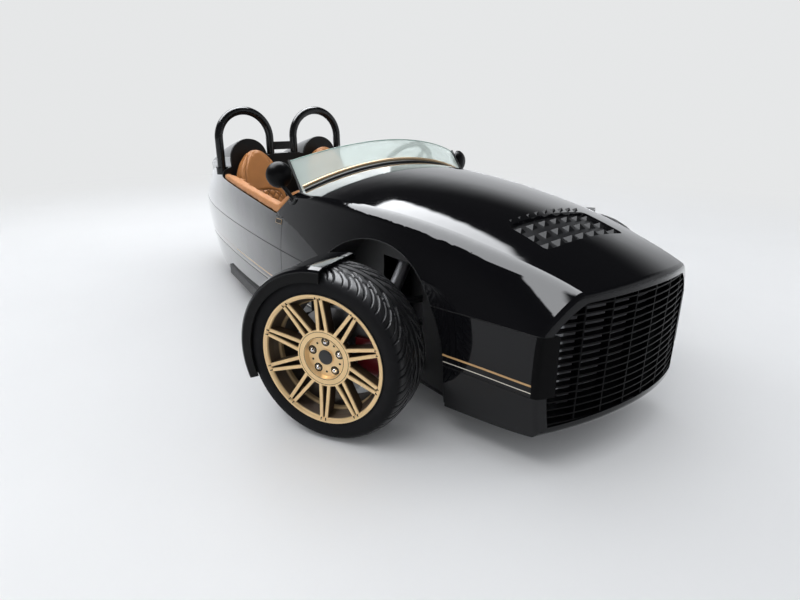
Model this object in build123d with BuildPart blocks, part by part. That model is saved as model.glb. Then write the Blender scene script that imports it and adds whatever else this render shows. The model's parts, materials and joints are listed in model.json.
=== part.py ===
"""Open two-seat three-wheeled car, two steered wheels in front and one wheel behind.

Millimetres. The front points towards -Y, the car's left side is +X and +Z is up. The origin is on
the ground, midway between nose and tail. The front wheels stand steered to the left, as parked.
Lengths called behind_nose are measured backwards from the foremost point.
"""
from build123d import *
import os
from collections import namedtuple
from math import asin, cos, hypot, radians, sin, sqrt

os.makedirs("parts", exist_ok=True)

# Overall sizes
LENGTH = 3660.0
NOSE_Y = -LENGTH / 2
TAIL_Y = LENGTH / 2
WHEELBASE = 2540.0
FRONT_OVERHANG = 744.0
FRONT_AXLE_Y = NOSE_Y + FRONT_OVERHANG
REAR_AXLE = FRONT_OVERHANG + WHEELBASE
REAR_AXLE_Y = NOSE_Y + REAR_AXLE
SIDES = (("left", 1), ("right", -1))
FIT = 0.3
WIDE = 900.0
HIGH = 1300.0
FAR = LENGTH + 200

# Body shell
SKIN = 14.0
LIP = 30.0
LIP_DEPTH = 45.0
WAIST_Z = 495.0
CHIN_Z = 290.0
NOSE_PLAN_R = 1050.0
TAIL_PLAN_R = 420.0
NOSE_ROUND = 22.0
SIDE_BULGE = 9.0
PANEL_SEAM = 1520.0
CHIN_END = 720.0

# Stations of the body shell. behind_nose: distance from the nose; waist: half width at the waist
# seam; shoulder, shoulder_z: the shoulder's half width and height; crown: height in the middle;
# sill, sill_z: the bottom corner's half width and height; top_r, low_r: the shoulder's and the
# bottom corner's radius.
Station = namedtuple("Station", "behind_nose waist shoulder shoulder_z crown sill sill_z top_r low_r")
STATIONS = [
    Station(-60, 360, 275, 572, 606, 350, 185, 60, 112),
    Station(240, 438, 345, 672, 716, 430, 132, 68, 100),
    Station(620, 522, 425, 742, 812, 512, 125, 74, 75),
    Station(1020, 585, 490, 770, 868, 572, 125, 62, 58),
    Station(1420, 583, 525, 764, 888, 570, 125, 44, 55),
    Station(2000, 538, 495, 765, 868, 525, 125, 38, 55),
    Station(2730, 449, 415, 760, 848, 436, 130, 38, 55),
    Station(3080, 385, 335, 745, 815, 374, 215, 38, 55),
    Station(3470, 285, 235, 650, 715, 278, 370, 38, 55),
    Station(3720, 205, 160, 570, 625, 200, 440, 38, 55),
]

# Cockpit
COCKPIT_FRONT = 1420.0
COCKPIT_LOW = 1600.0
COCKPIT_REAR_EDGE = 2590.0
COCKPIT_END = 2650.0
RAIL_FRONT_Z = 785.0
RAIL_LOW_Z = 658.0
RAIL_REAR_Z = 718.0
DECK_EDGE_Z = 725.0
RAIL_THICK = 42.0
RAIL_WIDTH = 50.0
RAIL_INSIDE = 408.0

# Wheel arches and their liners
ARCH_R = 385.0
ARCH_CENTRE = 820.0
ARCH_Z = 285.0
ARCH_INSIDE = 430.0
LINER_T = 3.0
LINER_PLATE_T = 6.0
LINER_WINDOW = (620.0, 870.0, 152.0, 590.0)

# Hood vent
VENT_FRONT = 244.0
VENT_REAR = 425.0
VENT_HALF_W = 214.0
VENT_CORNER_R = 22.0
VENT_ROWS = 3
VENT_COLUMNS = 7
PYRAMID_H = 24.0
PYRAMID_BASE = 0.9
PYRAMID_TIP = 3.0
PYRAMID_DEPTH = SKIN + 6

# Grille
SLAT_PITCH = 26.0
SLAT_T = 5.0
SLAT_DEPTH = 26.0
GRILLE_SET_BACK = 4.0
GRILLE_BOTTOM = 190.0
GRILLE_TOP = 640.0
GRILLE_BAND = 16.0
BAND_INSIDE = 350.0
UPRIGHTS = (-270, -162, -54, 54, 162, 270)
SLAT_COUNT = int((GRILLE_TOP - GRILLE_BOTTOM) / SLAT_PITCH) + 1

# Front wheels and steering
STEER_REST = 29.2
KINGPIN_X = 700.0
HUB_OFFSET = 50.0
FRONT_TYRE_R = 318.5
FRONT_TYRE_W = 228.0
RIM_R = 238.5
BEAD_R = 228.6
FRONT_RIM_W = 218.0
RIM_WALL = 7.0
HUB_DISC_R = 105.0
HUB_DISC_SET_BACK = 20.0
HUB_RECESS = 18.0
SPOKE_PAIRS = 10
SPOKE_W = 12.0
SPOKE_GAP_HUB = 34.0
SPOKE_GAP_RIM = 19.0
BOLT_CIRCLE = 114.0
BOLT_COUNT = 5
BOLT_POCKET_R = 13.0
CAP_R = 30.0
WHEEL_FACE = 40.0
SPINDLE_R = 33.0

# Rear wheel
REAR_TYRE_R = 328.5
REAR_TYRE_W = 285.0
REAR_RIM_W = 274.0
REAR_AXLE_R = 15.0
REAR_OPENING_HALF_W = 210.0
REAR_OPENING_FRONT = 2860.0
REAR_OPENING_TOP = 480.0
GUARD_GAP = 30.0
GUARD_T = 4.0

# Brakes
DISC_R = 160.0
DISC_T = 26.0
DISC_SHIFT = -4.0
CALIPER_OUTER_R = 186.0
CALIPER_INNER_R = 104.0
CALIPER_IN = 34.0
CALIPER_OUT = 28.0

# Fenders
FENDER_R = 328.0
FENDER_T = 6.0
FENDER_W = 238.0
FENDER_EDGE_R = 324.0
FENDER_LIP_OUTER = 40.0
FENDER_LIP_INNER = 18.0
FENDER_FRONT = 93.5
FENDER_REAR = -22.0
STAY_T = 8.0
STAY_W = 22.0
STAY_GAP = 8.0
STAY_ANGLES = (2, 62)
UPRIGHT_W = 56.0
UPRIGHT_T = 24.0

# Front suspension
UPPER_JOINT_Z = 462.0
LOWER_JOINT_Z = 186.0
JOINT_HALF = 16.0
ARM_R = 13.0
BUSH_R = 18.0
BUSH_HALF = 20.0
UPPER_SPREAD = 110.0
LOWER_SPREAD = 115.0
COILOVER_BACK = 34.0

# Chassis frame
BEAM_X = 330.0
BEAM = 60.0
BEAM_Z = 146.0
BEAM_FRONT = 260.0
BEAM_REAR = 2680.0
TOWER_TOP = 640.0
TOWER_HALF = 25.0
TOWERS = ((640.0, 690.0), (850.0, 900.0))

# Floor and bulkheads
FLOOR_Z = BEAM_Z + BEAM + FIT
FLOOR_T = 8.0
FIREWALL = 1210.0
FIREWALL_T = 6.0
BULKHEAD_T = 16.0
TUB_T = 6.0
TUNNEL_HALF_W = 60.0
TUNNEL_TOP = 365.0
# Plan of the tub's walls: distance behind the nose and half width.
TUB_PLAN = ((FIREWALL + FIREWALL_T, 505.0), (1640.0, 508.0), (2100.0, 478.0), (COCKPIT_END - BULKHEAD_T, 402.0))

# Seats
SEAT_X = 245.0
SEAT_HALF_W = 175.0
SEAT_FRONT = 1860.0
SEAT_TOP = 370.0
SEAT_BACK_T = 108.0
SEAT_LEAN = 21.0
SEAT_BACK_H = 562.0

# Roll hoops and headrest fairings
HOOP_X = 254.0
HOOP_R = 169.0
HOOP_TUBE_R = 25.0
HOOP_TOP = 1143.0
HOOP_PLACE = 2685.0
HOOP_FOOT_Z = 700.0
# Fairing stations: distance behind the nose, half width and top.
Fairing = namedtuple("Fairing", "behind_nose half_width top")
FAIRING = [Fairing(COCKPIT_END + 2, 122, 949), Fairing(2950, 84, 884), Fairing(3300, 28, 778)]

# Windscreen: a raked band of a cylinder
GLASS_T = 6.0
GLASS_R = 800.0
GLASS_HALF_W = 494.0
GLASS_FOOT = 1187.0
GLASS_FOOT_Z = 700.0
GLASS_TOP_Z = 986.0
GLASS_SIDE_Z = 903.0
GLASS_RAKE = 0.848
POST_R = 6.0

# Mirrors
MIRROR_X = 555.0
MIRROR_PLACE = 1530.0
MIRROR_Z = 845.0
MIRROR_R = 60.0
MIRROR_YAW = 28.0

# Dashboard
DASH_HALF_W = 455.0
DASH_REAR = COCKPIT_FRONT + 110.0

# Steering wheel
STEERING_RATIO = 13.5
STEERING_X = 255.0
STEERING_PLACE = 1640.0
STEERING_Z = 800.0
STEERING_R = 165.0
COLUMN_R = 24.0
COLUMN_LENGTH = 150.0
HUB_BACK = 18.0


def keep(piece, label):
    """Label a finished piece and write it."""
    piece.part.label = label
    export_step(piece.part, f"parts/{label}.step")


def behind(distance):
    """Y of a place given by its distance behind the nose."""
    return NOSE_Y + distance


def hull_section(station, inset):
    """One cross-section of the body, moved inwards by inset: a flat bottom, two bowed sides on
    each flank and a crowned top, with rounded shoulders and sills."""
    waist = station.waist - inset
    shoulder = station.shoulder - 0.75 * inset
    shoulder_z = station.shoulder_z - 0.8 * inset
    crown = station.crown - inset
    sill = station.sill - inset
    sill_z = station.sill_z + inset
    with BuildSketch(Plane.XZ.offset(-behind(station.behind_nose))) as section:
        with BuildLine():
            Line((-sill, sill_z), (sill, sill_z))
            for side in (1, -1):
                low_mid = ((sill + waist) / 2 + SIDE_BULGE) * side
                ThreePointArc((sill * side, sill_z), (low_mid, (sill_z + WAIST_Z) / 2), (waist * side, WAIST_Z))
                top_mid = ((waist + shoulder) / 2 + SIDE_BULGE) * side
                ThreePointArc(
                    (waist * side, WAIST_Z), (top_mid, (WAIST_Z + shoulder_z) / 2), (shoulder * side, shoulder_z)
                )
            ThreePointArc((-shoulder, shoulder_z), (0, crown), (shoulder, shoulder_z))
        make_face()
        corners = section.vertices()
        fillet([v for v in corners if abs(v.Y - shoulder_z) < 0.01], radius=station.top_r - 0.5 * min(inset, LIP))
        fillet([v for v in corners if abs(v.Y - sill_z) < 0.01], radius=station.low_r - 0.7 * min(inset, RAIL_WIDTH))
    return section.sketch


def plan_arc(radius, half_width, tip, side):
    """Plan outline of a rounded end: an arc of the given radius through (0, tip)."""
    back = radius - sqrt(radius**2 - half_width**2)
    return ThreePointArc((-half_width, tip + side * back), (0, tip), (half_width, tip + side * back))


def nose_region(tip):
    """Everything ahead of the nose's plan arc whose foremost point is at tip."""
    with BuildPart() as region:
        with BuildSketch():
            with BuildLine():
                arc = plan_arc(NOSE_PLAN_R, 600, tip, 1)
                Line(arc @ 1, (600, NOSE_Y - 200))
                Line((600, NOSE_Y - 200), (-600, NOSE_Y - 200))
                Line((-600, NOSE_Y - 200), arc @ 0)
            make_face()
        extrude(amount=HIGH)
    return region.part


def on_nose(edge):
    """Whether an edge lies on the nose's plan arc."""
    centre_y = NOSE_Y + NOSE_PLAN_R
    points = [edge @ share for share in (0, 0.5, 1)]
    return all(p.Y < centre_y and abs(hypot(p.X, p.Y - centre_y) - NOSE_PLAN_R) < 0.5 for p in points)


HULLS = {}


def hull(inset):
    """The body's closed form, moved inwards by inset, with its tail rounded in plan. Only the outer
    form, with no inset, ends at the nose, which is rounded; the others run on ahead of it."""
    if inset in HULLS:
        return HULLS[inset]
    with BuildPart() as form:
        loft(sections=[hull_section(station, inset) for station in STATIONS])
        tail = TAIL_Y - inset
        with BuildSketch():
            with BuildLine():
                arc = plan_arc(TAIL_PLAN_R, 400, tail, -1)
                Line(arc @ 1, (400, TAIL_Y + 200))
                Line((400, TAIL_Y + 200), (-400, TAIL_Y + 200))
                Line((-400, TAIL_Y + 200), arc @ 0)
            make_face()
        extrude(amount=HIGH, mode=Mode.SUBTRACT)
        if inset == 0:
            add(nose_region(NOSE_Y), mode=Mode.SUBTRACT)
            fillet([edge for edge in form.edges() if on_nose(edge)], radius=NOSE_ROUND)
    HULLS[inset] = form.part
    return form.part


def side_prism(points, half_width=WIDE):
    """A solid across the car whose side view is the polygon of (behind_nose, z) points."""
    with BuildPart() as prism:
        with BuildSketch(Plane.YZ):
            Polygon(*[(behind(y), z) for y, z in points], align=None)
        extrude(amount=half_width, both=True)
    return prism.part


def block(x0, x1, y0, y1, z0, z1):
    """A box between two corners, with y measured behind the nose."""
    with BuildPart() as solid:
        with Locations(((x0 + x1) / 2, behind((y0 + y1) / 2), (z0 + z1) / 2)):
            Box(x1 - x0, y1 - y0, z1 - z0)
    return solid.part


def rod(start, end, radius):
    """A round bar between two points, each given as x, distance behind the nose, and z."""
    first = Vector(start[0], behind(start[1]), start[2])
    last = Vector(end[0], behind(end[1]), end[2])
    with BuildPart() as bar:
        with BuildSketch(Plane(origin=first, z_dir=last - first)):
            Circle(radius)
        extrude(amount=(last - first).length)
    return bar.part


def between(start, end, share):
    """The point at a share of the way from start to end."""
    return tuple(a + share * (b - a) for a, b in zip(start, end))


def mirrored(piece):
    """The same piece on the other side of the car."""
    with BuildPart() as other:
        mirror(piece, about=Plane.YZ)
    return other.part


def keep_both(right_part, name):
    """Write a piece of the right side and its mirror image as one node."""
    with BuildPart() as both:
        add(right_part)
        add(mirrored(right_part))
    keep(both, name)


# Body shell with its openings
with BuildPart() as arch_cut:
    with BuildSketch(Plane.YZ):
        with Locations((behind(ARCH_CENTRE), ARCH_Z)):
            Circle(ARCH_R)
        with Locations((behind(ARCH_CENTRE), ARCH_Z / 2)):
            Rectangle(2 * ARCH_R, ARCH_Z)
    extrude(amount=WIDE, both=True)
    add(block(-ARCH_INSIDE, ARCH_INSIDE, 0, FAR, 0, HIGH), mode=Mode.SUBTRACT)

with BuildPart() as vent_cut:
    add(block(-VENT_HALF_W, VENT_HALF_W, VENT_FRONT, VENT_REAR, 560, 1000))
    fillet(vent_cut.edges().filter_by(Axis.Z), radius=VENT_CORNER_R)

with BuildPart() as hollow:
    add(hull(SKIN))
    add(nose_region(NOSE_Y + LIP_DEPTH), mode=Mode.SUBTRACT)
    add(hull(LIP))

with BuildPart() as shell:
    add(hull(0))
    add(hollow.part, mode=Mode.SUBTRACT)
    add(side_prism([
        (COCKPIT_FRONT, HIGH), (COCKPIT_FRONT, RAIL_FRONT_Z), (COCKPIT_LOW, RAIL_LOW_Z),
        (COCKPIT_REAR_EDGE, RAIL_REAR_Z), (COCKPIT_END, DECK_EDGE_Z), (COCKPIT_END, HIGH),
    ]), mode=Mode.SUBTRACT)
    add(arch_cut.part, mode=Mode.SUBTRACT)
    add(
        block(-REAR_OPENING_HALF_W, REAR_OPENING_HALF_W, REAR_OPENING_FRONT, FAR, 0, REAR_OPENING_TOP),
        mode=Mode.SUBTRACT,
    )

with BuildPart() as hood_panel:
    add(shell.part)
    add(block(-WIDE, WIDE, -100, PANEL_SEAM, WAIST_Z, HIGH), mode=Mode.INTERSECT)
    add(vent_cut.part, mode=Mode.SUBTRACT)
keep(hood_panel, "hood_panel")
with BuildPart() as front_lower_panel:
    add(shell.part)
    add(block(-WIDE, WIDE, -100, PANEL_SEAM, 0, WAIST_Z), mode=Mode.INTERSECT)
    add(block(-WIDE, WIDE, -100, CHIN_END, 0, CHIN_Z), mode=Mode.SUBTRACT)
    add(nose_region(NOSE_Y + GRILLE_BAND), mode=Mode.SUBTRACT)
keep(front_lower_panel, "front_lower_panel")
with BuildPart() as chin:
    add(shell.part)
    add(block(-WIDE, WIDE, -100, CHIN_END, 0, CHIN_Z), mode=Mode.INTERSECT)
keep(chin, "chin")
with BuildPart() as rear_upper_panel:
    add(shell.part)
    add(block(-WIDE, WIDE, PANEL_SEAM, FAR, WAIST_Z, HIGH), mode=Mode.INTERSECT)
keep(rear_upper_panel, "rear_upper_panel")
with BuildPart() as rear_lower_panel:
    add(shell.part)
    add(block(-WIDE, WIDE, PANEL_SEAM, FAR, 0, WAIST_Z), mode=Mode.INTERSECT)
keep(rear_lower_panel, "rear_lower_panel")

# Hood vent: a tray under the hood with rows of four-sided pyramids
vent_pitch_x = 2 * VENT_HALF_W / VENT_COLUMNS
vent_pitch_y = (VENT_REAR - VENT_FRONT) / VENT_ROWS
ahead_station, rear_station = STATIONS[1], STATIONS[2]
hood_slope = (rear_station.crown - ahead_station.crown) / (rear_station.behind_nose - ahead_station.behind_nose)
with BuildPart() as pyramid:
    with BuildSketch():
        Rectangle(PYRAMID_BASE * vent_pitch_x, PYRAMID_BASE * vent_pitch_y)
    with BuildSketch(Plane.XY.offset(PYRAMID_H)):
        Rectangle(PYRAMID_TIP, PYRAMID_TIP)
    loft()
pyramids = []
for row in range(VENT_ROWS):
    distance = VENT_FRONT + (row + 0.5) * vent_pitch_y
    crown = ahead_station.crown + hood_slope * (distance - ahead_station.behind_nose)
    for column in range(VENT_COLUMNS):
        x = (column + 0.5 - VENT_COLUMNS / 2) * vent_pitch_x
        fall = (ahead_station.crown - ahead_station.shoulder_z) * (x / ahead_station.shoulder) ** 2
        foot = Plane(origin=(x, behind(distance), crown - fall - PYRAMID_DEPTH), z_dir=(0, -hood_slope, 1))
        pyramids.append(pyramid.part.moved(foot.location))
with BuildPart() as hood_vent:
    add(hull(SKIN + FIT))
    add(block(-VENT_HALF_W - 20, VENT_HALF_W + 20, VENT_FRONT - 20, VENT_REAR + 20, 600, HIGH), mode=Mode.INTERSECT)
    add(hull(LIP + FIT), mode=Mode.SUBTRACT)
    add(pyramids)
keep(hood_vent, "hood_vent")

# Grille: curved slats across the mouth, tied by uprights and by a band at each side
with BuildPart() as mouth:
    with BuildSketch(Plane.XY.offset(GRILLE_BOTTOM)):
        with BuildLine():
            front = plan_arc(NOSE_PLAN_R, 420, NOSE_Y + GRILLE_SET_BACK, 1)
            rear = plan_arc(NOSE_PLAN_R, 420, NOSE_Y + GRILLE_SET_BACK + SLAT_DEPTH, 1)
            Line(front @ 0, rear @ 0)
            Line(front @ 1, rear @ 1)
        make_face()
    extrude(amount=GRILLE_TOP - GRILLE_BOTTOM)
    add(hull(LIP + FIT), mode=Mode.INTERSECT)
with BuildPart() as side_bands:
    add(nose_region(NOSE_Y + GRILLE_BAND - FIT))
    add(block(-WIDE, WIDE, -100, 200, CHIN_Z + FIT, WAIST_Z - FIT), mode=Mode.INTERSECT)
    add(block(-BAND_INSIDE, BAND_INSIDE, -200, 200, 0, HIGH), mode=Mode.SUBTRACT)
    add(hull(0), mode=Mode.INTERSECT)
with BuildPart() as grille:
    with Locations(*[(0, behind(80), GRILLE_BOTTOM + level * SLAT_PITCH) for level in range(SLAT_COUNT)]):
        Box(840, 200, SLAT_T, align=(Align.CENTER, Align.CENTER, Align.MIN))
    with Locations(*[(x, behind(80), GRILLE_BOTTOM) for x in UPRIGHTS]):
        Box(SLAT_T, 200, GRILLE_TOP - GRILLE_BOTTOM, align=(Align.CENTER, Align.CENTER, Align.MIN))
    add(mouth.part, mode=Mode.INTERSECT)
    add(side_bands.part)
keep(grille, "grille")

# Radiator behind the grille, with a headlamp stack at each side
RADIATOR_FRONT = 120.0
RADIATOR_REAR = 180.0
RADIATOR_HALF_W = 257.0
LAMP_X = 300.0
LAMP_HALF_W = LAMP_X - RADIATOR_HALF_W - FIT
LAMP_LEVELS = (300, 390, 480)
with BuildPart() as radiator:
    add(block(-RADIATOR_HALF_W, RADIATOR_HALF_W, RADIATOR_FRONT, RADIATOR_REAR, 190, 560))
    core = block(
        -RADIATOR_HALF_W + 25, RADIATOR_HALF_W - 25, RADIATOR_FRONT - 1, RADIATOR_FRONT + 8, 215, 535,
    )
    add(core, mode=Mode.SUBTRACT)
keep(radiator, "radiator")
with BuildPart() as headlamp:
    add(block(-LAMP_X - LAMP_HALF_W, -LAMP_X + LAMP_HALF_W, RADIATOR_FRONT, RADIATOR_REAR - 10, 250, 530))
    with BuildSketch(Plane.XZ.offset(-behind(RADIATOR_FRONT))):
        with Locations(*[(-LAMP_X, z) for z in LAMP_LEVELS]):
            Circle(30)
    extrude(amount=12)
keep_both(headlamp.part, "headlamps")

# Windscreen: a raked curved pane standing on the hood
glass_crown_drop = GLASS_TOP_Z - GLASS_SIDE_Z
glass_crown_r = (GLASS_HALF_W**2 + glass_crown_drop**2) / (2 * glass_crown_drop)
with BuildPart() as glass:
    with BuildSketch(Plane.XY.offset(GLASS_FOOT_Z)):
        with Locations((0, behind(GLASS_FOOT) + GLASS_R)):
            Circle(GLASS_R)
            Circle(GLASS_R - GLASS_T, mode=Mode.SUBTRACT)
        with Locations((0, behind(GLASS_FOOT))):
            Rectangle(2 * GLASS_HALF_W, 1100, mode=Mode.INTERSECT)
    rise = GLASS_TOP_Z - GLASS_FOOT_Z + 40
    extrude(amount=rise * hypot(1, GLASS_RAKE), dir=(0, GLASS_RAKE, 1))
    with BuildSketch(Plane.XZ):
        with Locations((0, GLASS_TOP_Z - glass_crown_r)):
            Circle(glass_crown_r)
    extrude(amount=2000, both=True, mode=Mode.INTERSECT)
    add(hull(0), mode=Mode.SUBTRACT)
    add(block(-WIDE, WIDE, 0, FAR, 0, 740), mode=Mode.SUBTRACT)
keep(glass, "windscreen")

glass_edge = GLASS_FOOT + GLASS_R - sqrt(GLASS_R**2 - GLASS_HALF_W**2)


def on_glass_edge(z):
    """The post's centre beside the right end of the glass at height z."""
    return (-GLASS_HALF_W - POST_R - FIT, glass_edge + GLASS_RAKE * (z - GLASS_FOOT_Z), z)


with BuildPart() as post:
    add(rod(on_glass_edge(740), on_glass_edge(GLASS_SIDE_Z + 4), POST_R))
    add(hull(0), mode=Mode.SUBTRACT)
keep_both(post.part, "windscreen_posts")

# Mirrors on stalks beside the windscreen
mirror_centre = Vector(-MIRROR_X, behind(MIRROR_PLACE), MIRROR_Z)
with BuildPart() as mirror_head:
    with BuildSketch(Plane(origin=mirror_centre, x_dir=(1, 0, 0), z_dir=(0, 0, 1))):
        with BuildLine():
            Line((0, 14), (MIRROR_R, 14))
            Line((MIRROR_R, 14), (MIRROR_R, 2))
            ThreePointArc((MIRROR_R, 2), (MIRROR_R * 0.74, -20), (0, -32))
            Line((0, -32), (0, 14))
        make_face()
    revolve(axis=Axis(mirror_centre, (0, 1, 0)))
with BuildPart() as door_mirror:
    add(mirror_head.part.rotate(Axis(mirror_centre, (0, 0, 1)), -MIRROR_YAW))
    add(rod((-522, 1436, 728), (-MIRROR_X + 2, MIRROR_PLACE - 8, MIRROR_Z - 38), 9))
    add(hull(0), mode=Mode.SUBTRACT)
keep_both(door_mirror.part, "mirrors")

# Padded rails along the cockpit sides
with BuildPart() as rail:
    add(hull(0))
    add(side_prism([
        (COCKPIT_FRONT + FIT, RAIL_FRONT_Z + FIT), (COCKPIT_LOW, RAIL_LOW_Z + FIT),
        (COCKPIT_REAR_EDGE, RAIL_REAR_Z + FIT), (COCKPIT_REAR_EDGE, RAIL_REAR_Z + 30),
        (COCKPIT_LOW + 5, RAIL_LOW_Z + RAIL_THICK), (COCKPIT_FRONT + FIT, RAIL_FRONT_Z + 30),
    ]), mode=Mode.INTERSECT)
    add(hull(RAIL_WIDTH), mode=Mode.SUBTRACT)
    add(block(-RAIL_INSIDE, WIDE, 0, FAR, 0, HIGH), mode=Mode.SUBTRACT)
    add(block(-DASH_HALF_W - FIT, 0, 0, DASH_REAR + FIT, 0, HIGH), mode=Mode.SUBTRACT)
keep_both(rail.part, "cockpit_rails")

# Floor tub with its tunnel, and the bulkheads before and behind it
rail_line = [
    (FIREWALL + FIREWALL_T, 700), (COCKPIT_FRONT, 700), (COCKPIT_LOW, RAIL_LOW_Z - FIT),
    (COCKPIT_REAR_EDGE, RAIL_REAR_Z - FIT), (COCKPIT_END - BULKHEAD_T, RAIL_REAR_Z - FIT),
]
with BuildPart() as tub:
    with BuildSketch(Plane.XY.offset(FLOOR_Z)):
        outline = [(half, behind(y)) for y, half in TUB_PLAN]
        outline += [(-half, behind(y)) for y, half in reversed(TUB_PLAN)]
        Polygon(*outline, align=None)
    extrude(amount=HIGH)
    with BuildSketch(Plane.XY.offset(FLOOR_Z + FLOOR_T)):
        inside = [(half - TUB_T, behind(y)) for y, half in TUB_PLAN]
        inside += [(-half + TUB_T, behind(y)) for y, half in reversed(TUB_PLAN)]
        Polygon(*inside, align=None)
    extrude(amount=HIGH, mode=Mode.SUBTRACT)
    add(side_prism([
        (FIREWALL + FIREWALL_T, FLOOR_Z), *rail_line, (COCKPIT_END - BULKHEAD_T, FLOOR_Z),
    ]), mode=Mode.INTERSECT)
    add(block(
        -TUNNEL_HALF_W, TUNNEL_HALF_W, FIREWALL + FIREWALL_T, COCKPIT_END - BULKHEAD_T, FLOOR_Z, TUNNEL_TOP,
    ))
    tunnel_edges = tub.edges().filter_by(Axis.Y).filter_by_position(Axis.Z, TUNNEL_TOP - 1, TUNNEL_TOP + 1)
    fillet(tunnel_edges, radius=30)
keep(tub, "floor_tub")
with BuildPart() as firewall:
    add(hull(SKIN + FIT))
    add(block(-WIDE, WIDE, FIREWALL, FIREWALL + FIREWALL_T, FLOOR_Z, HIGH), mode=Mode.INTERSECT)
keep(firewall, "firewall")


def fairing_outline(station, low):
    """The arched outline of the right headrest fairing, seen from behind."""
    mid = station.top - station.half_width
    left, right = -HOOP_X - station.half_width, -HOOP_X + station.half_width
    with BuildSketch() as outline:
        with BuildLine():
            Line((left, low), (right, low))
            Line((right, low), (right, mid))
            ThreePointArc((right, mid), (-HOOP_X, station.top), (left, mid))
            Line((left, mid), (left, low))
        make_face()
    return outline.sketch


with BuildPart() as hump:
    with BuildSketch(Plane.XZ.offset(-behind(COCKPIT_END))):
        add(fairing_outline(FAIRING[0], RAIL_REAR_Z))
    extrude(amount=BULKHEAD_T)
with BuildPart() as bulkhead:
    add(hull(SKIN + FIT))
    add(block(
        -WIDE, WIDE, COCKPIT_END - BULKHEAD_T, COCKPIT_END, FLOOR_Z, DECK_EDGE_Z,
    ), mode=Mode.INTERSECT)
    with BuildPart(mode=Mode.PRIVATE) as upper_wall:
        add(hull(0))
        add(block(
            -WIDE, WIDE, COCKPIT_END - BULKHEAD_T, COCKPIT_END, DECK_EDGE_Z, HIGH,
        ), mode=Mode.INTERSECT)
    add(upper_wall.part)
    add(hump.part)
    add(mirrored(hump.part))
keep(bulkhead, "rear_bulkhead")
with BuildPart() as fairing:
    sections = []
    for station in FAIRING:
        with BuildSketch(Plane.XZ.offset(-behind(station.behind_nose)), mode=Mode.PRIVATE) as outline:
            add(fairing_outline(station, 640.0))
        sections.append(outline.sketch)
    loft(sections=sections)
    add(hull(0), mode=Mode.SUBTRACT)
    add(block(-WIDE, WIDE, 0, FAR, 0, 700), mode=Mode.SUBTRACT)
keep_both(fairing.part, "headrest_fairings")

# Steering column, dashboard and steering wheel
column_top = Vector(STEERING_X, behind(STEERING_PLACE), STEERING_Z)
column_dir = Vector(0, 0.90, 0.435).normalized()
column_plane = Plane(origin=column_top, x_dir=(1, 0, 0), z_dir=column_dir)
with BuildPart() as column:
    with BuildSketch(column_plane.offset(-HUB_BACK - FIT)):
        Circle(COLUMN_R)
    extrude(amount=-COLUMN_LENGTH)
keep(column, "steering_column")
with BuildPart() as dash:
    add(side_prism([
        (COCKPIT_FRONT + 2, 890), (COCKPIT_FRONT + 2, 650), (COCKPIT_FRONT + 70, 640),
        (DASH_REAR, 700), (DASH_REAR - 20, 800),
    ], half_width=DASH_HALF_W))
    add(hull(SKIN + FIT), mode=Mode.INTERSECT)
    with BuildSketch(column_plane):
        Circle(COLUMN_R + FIT)
    extrude(amount=-HUB_BACK - COLUMN_LENGTH - 2, mode=Mode.SUBTRACT)
keep(dash, "dashboard")
with BuildPart() as steering_wheel:
    ring_plane = Plane(origin=column_top, x_dir=(1, 0, 0), z_dir=column_dir.cross(Vector(1, 0, 0)) * -1)
    with BuildSketch(ring_plane):
        with Locations((STEERING_R, 0)):
            Circle(15)
    revolve(axis=Axis(column_top, column_dir))
    with BuildSketch(column_plane.offset(-HUB_BACK)):
        Circle(42)
    extrude(amount=26)
    with BuildSketch(column_plane.offset(-8)):
        with PolarLocations(0, 3, start_angle=STEER_REST * STEERING_RATIO - 90):
            with Locations((STEERING_R / 2, 0)):
                Rectangle(STEERING_R, 30)
    extrude(amount=8)
keep(steering_wheel, "steering_wheel")

# Seats: each back leans against the bulkhead and the cushion meets its foot
back_plane = Plane(
    origin=(-SEAT_X, behind(2330), 380),
    x_dir=(1, 0, 0),
    z_dir=(0, -cos(radians(SEAT_LEAN)), sin(radians(SEAT_LEAN))),
)
with BuildPart() as seat_back:
    with BuildSketch(back_plane):
        with BuildLine():
            Line((-SEAT_HALF_W, 0), (SEAT_HALF_W, 0))
            Line((SEAT_HALF_W, 0), (145, 330))
            ThreePointArc((145, 330), (115, 470), (50, 548))
            ThreePointArc((50, 548), (0, SEAT_BACK_H), (-50, 548))
            ThreePointArc((-50, 548), (-115, 470), (-145, 330))
            Line((-145, 330), (-SEAT_HALF_W, 0))
        make_face()
    extrude(amount=-SEAT_BACK_T)
    fillet(seat_back.edges(), radius=24)
to_bulkhead = behind(COCKPIT_END - BULKHEAD_T - FIT) - seat_back.part.bounding_box().max.Y
keep_both(seat_back.part.moved(Location((0, to_bulkhead, 0))), "seat_backs")
cushion_rear = seat_back.part.bounding_box().min.Y + to_bulkhead - FIT - NOSE_Y
with BuildPart() as cushion:
    add(block(
        -SEAT_X - SEAT_HALF_W, -SEAT_X + SEAT_HALF_W, SEAT_FRONT, cushion_rear, FLOOR_Z + FLOOR_T + FIT, SEAT_TOP,
    ))
    fillet(cushion.faces().sort_by(Axis.Z)[-1].edges(), radius=35)
keep_both(cushion.part, "seat_cushions")

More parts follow.
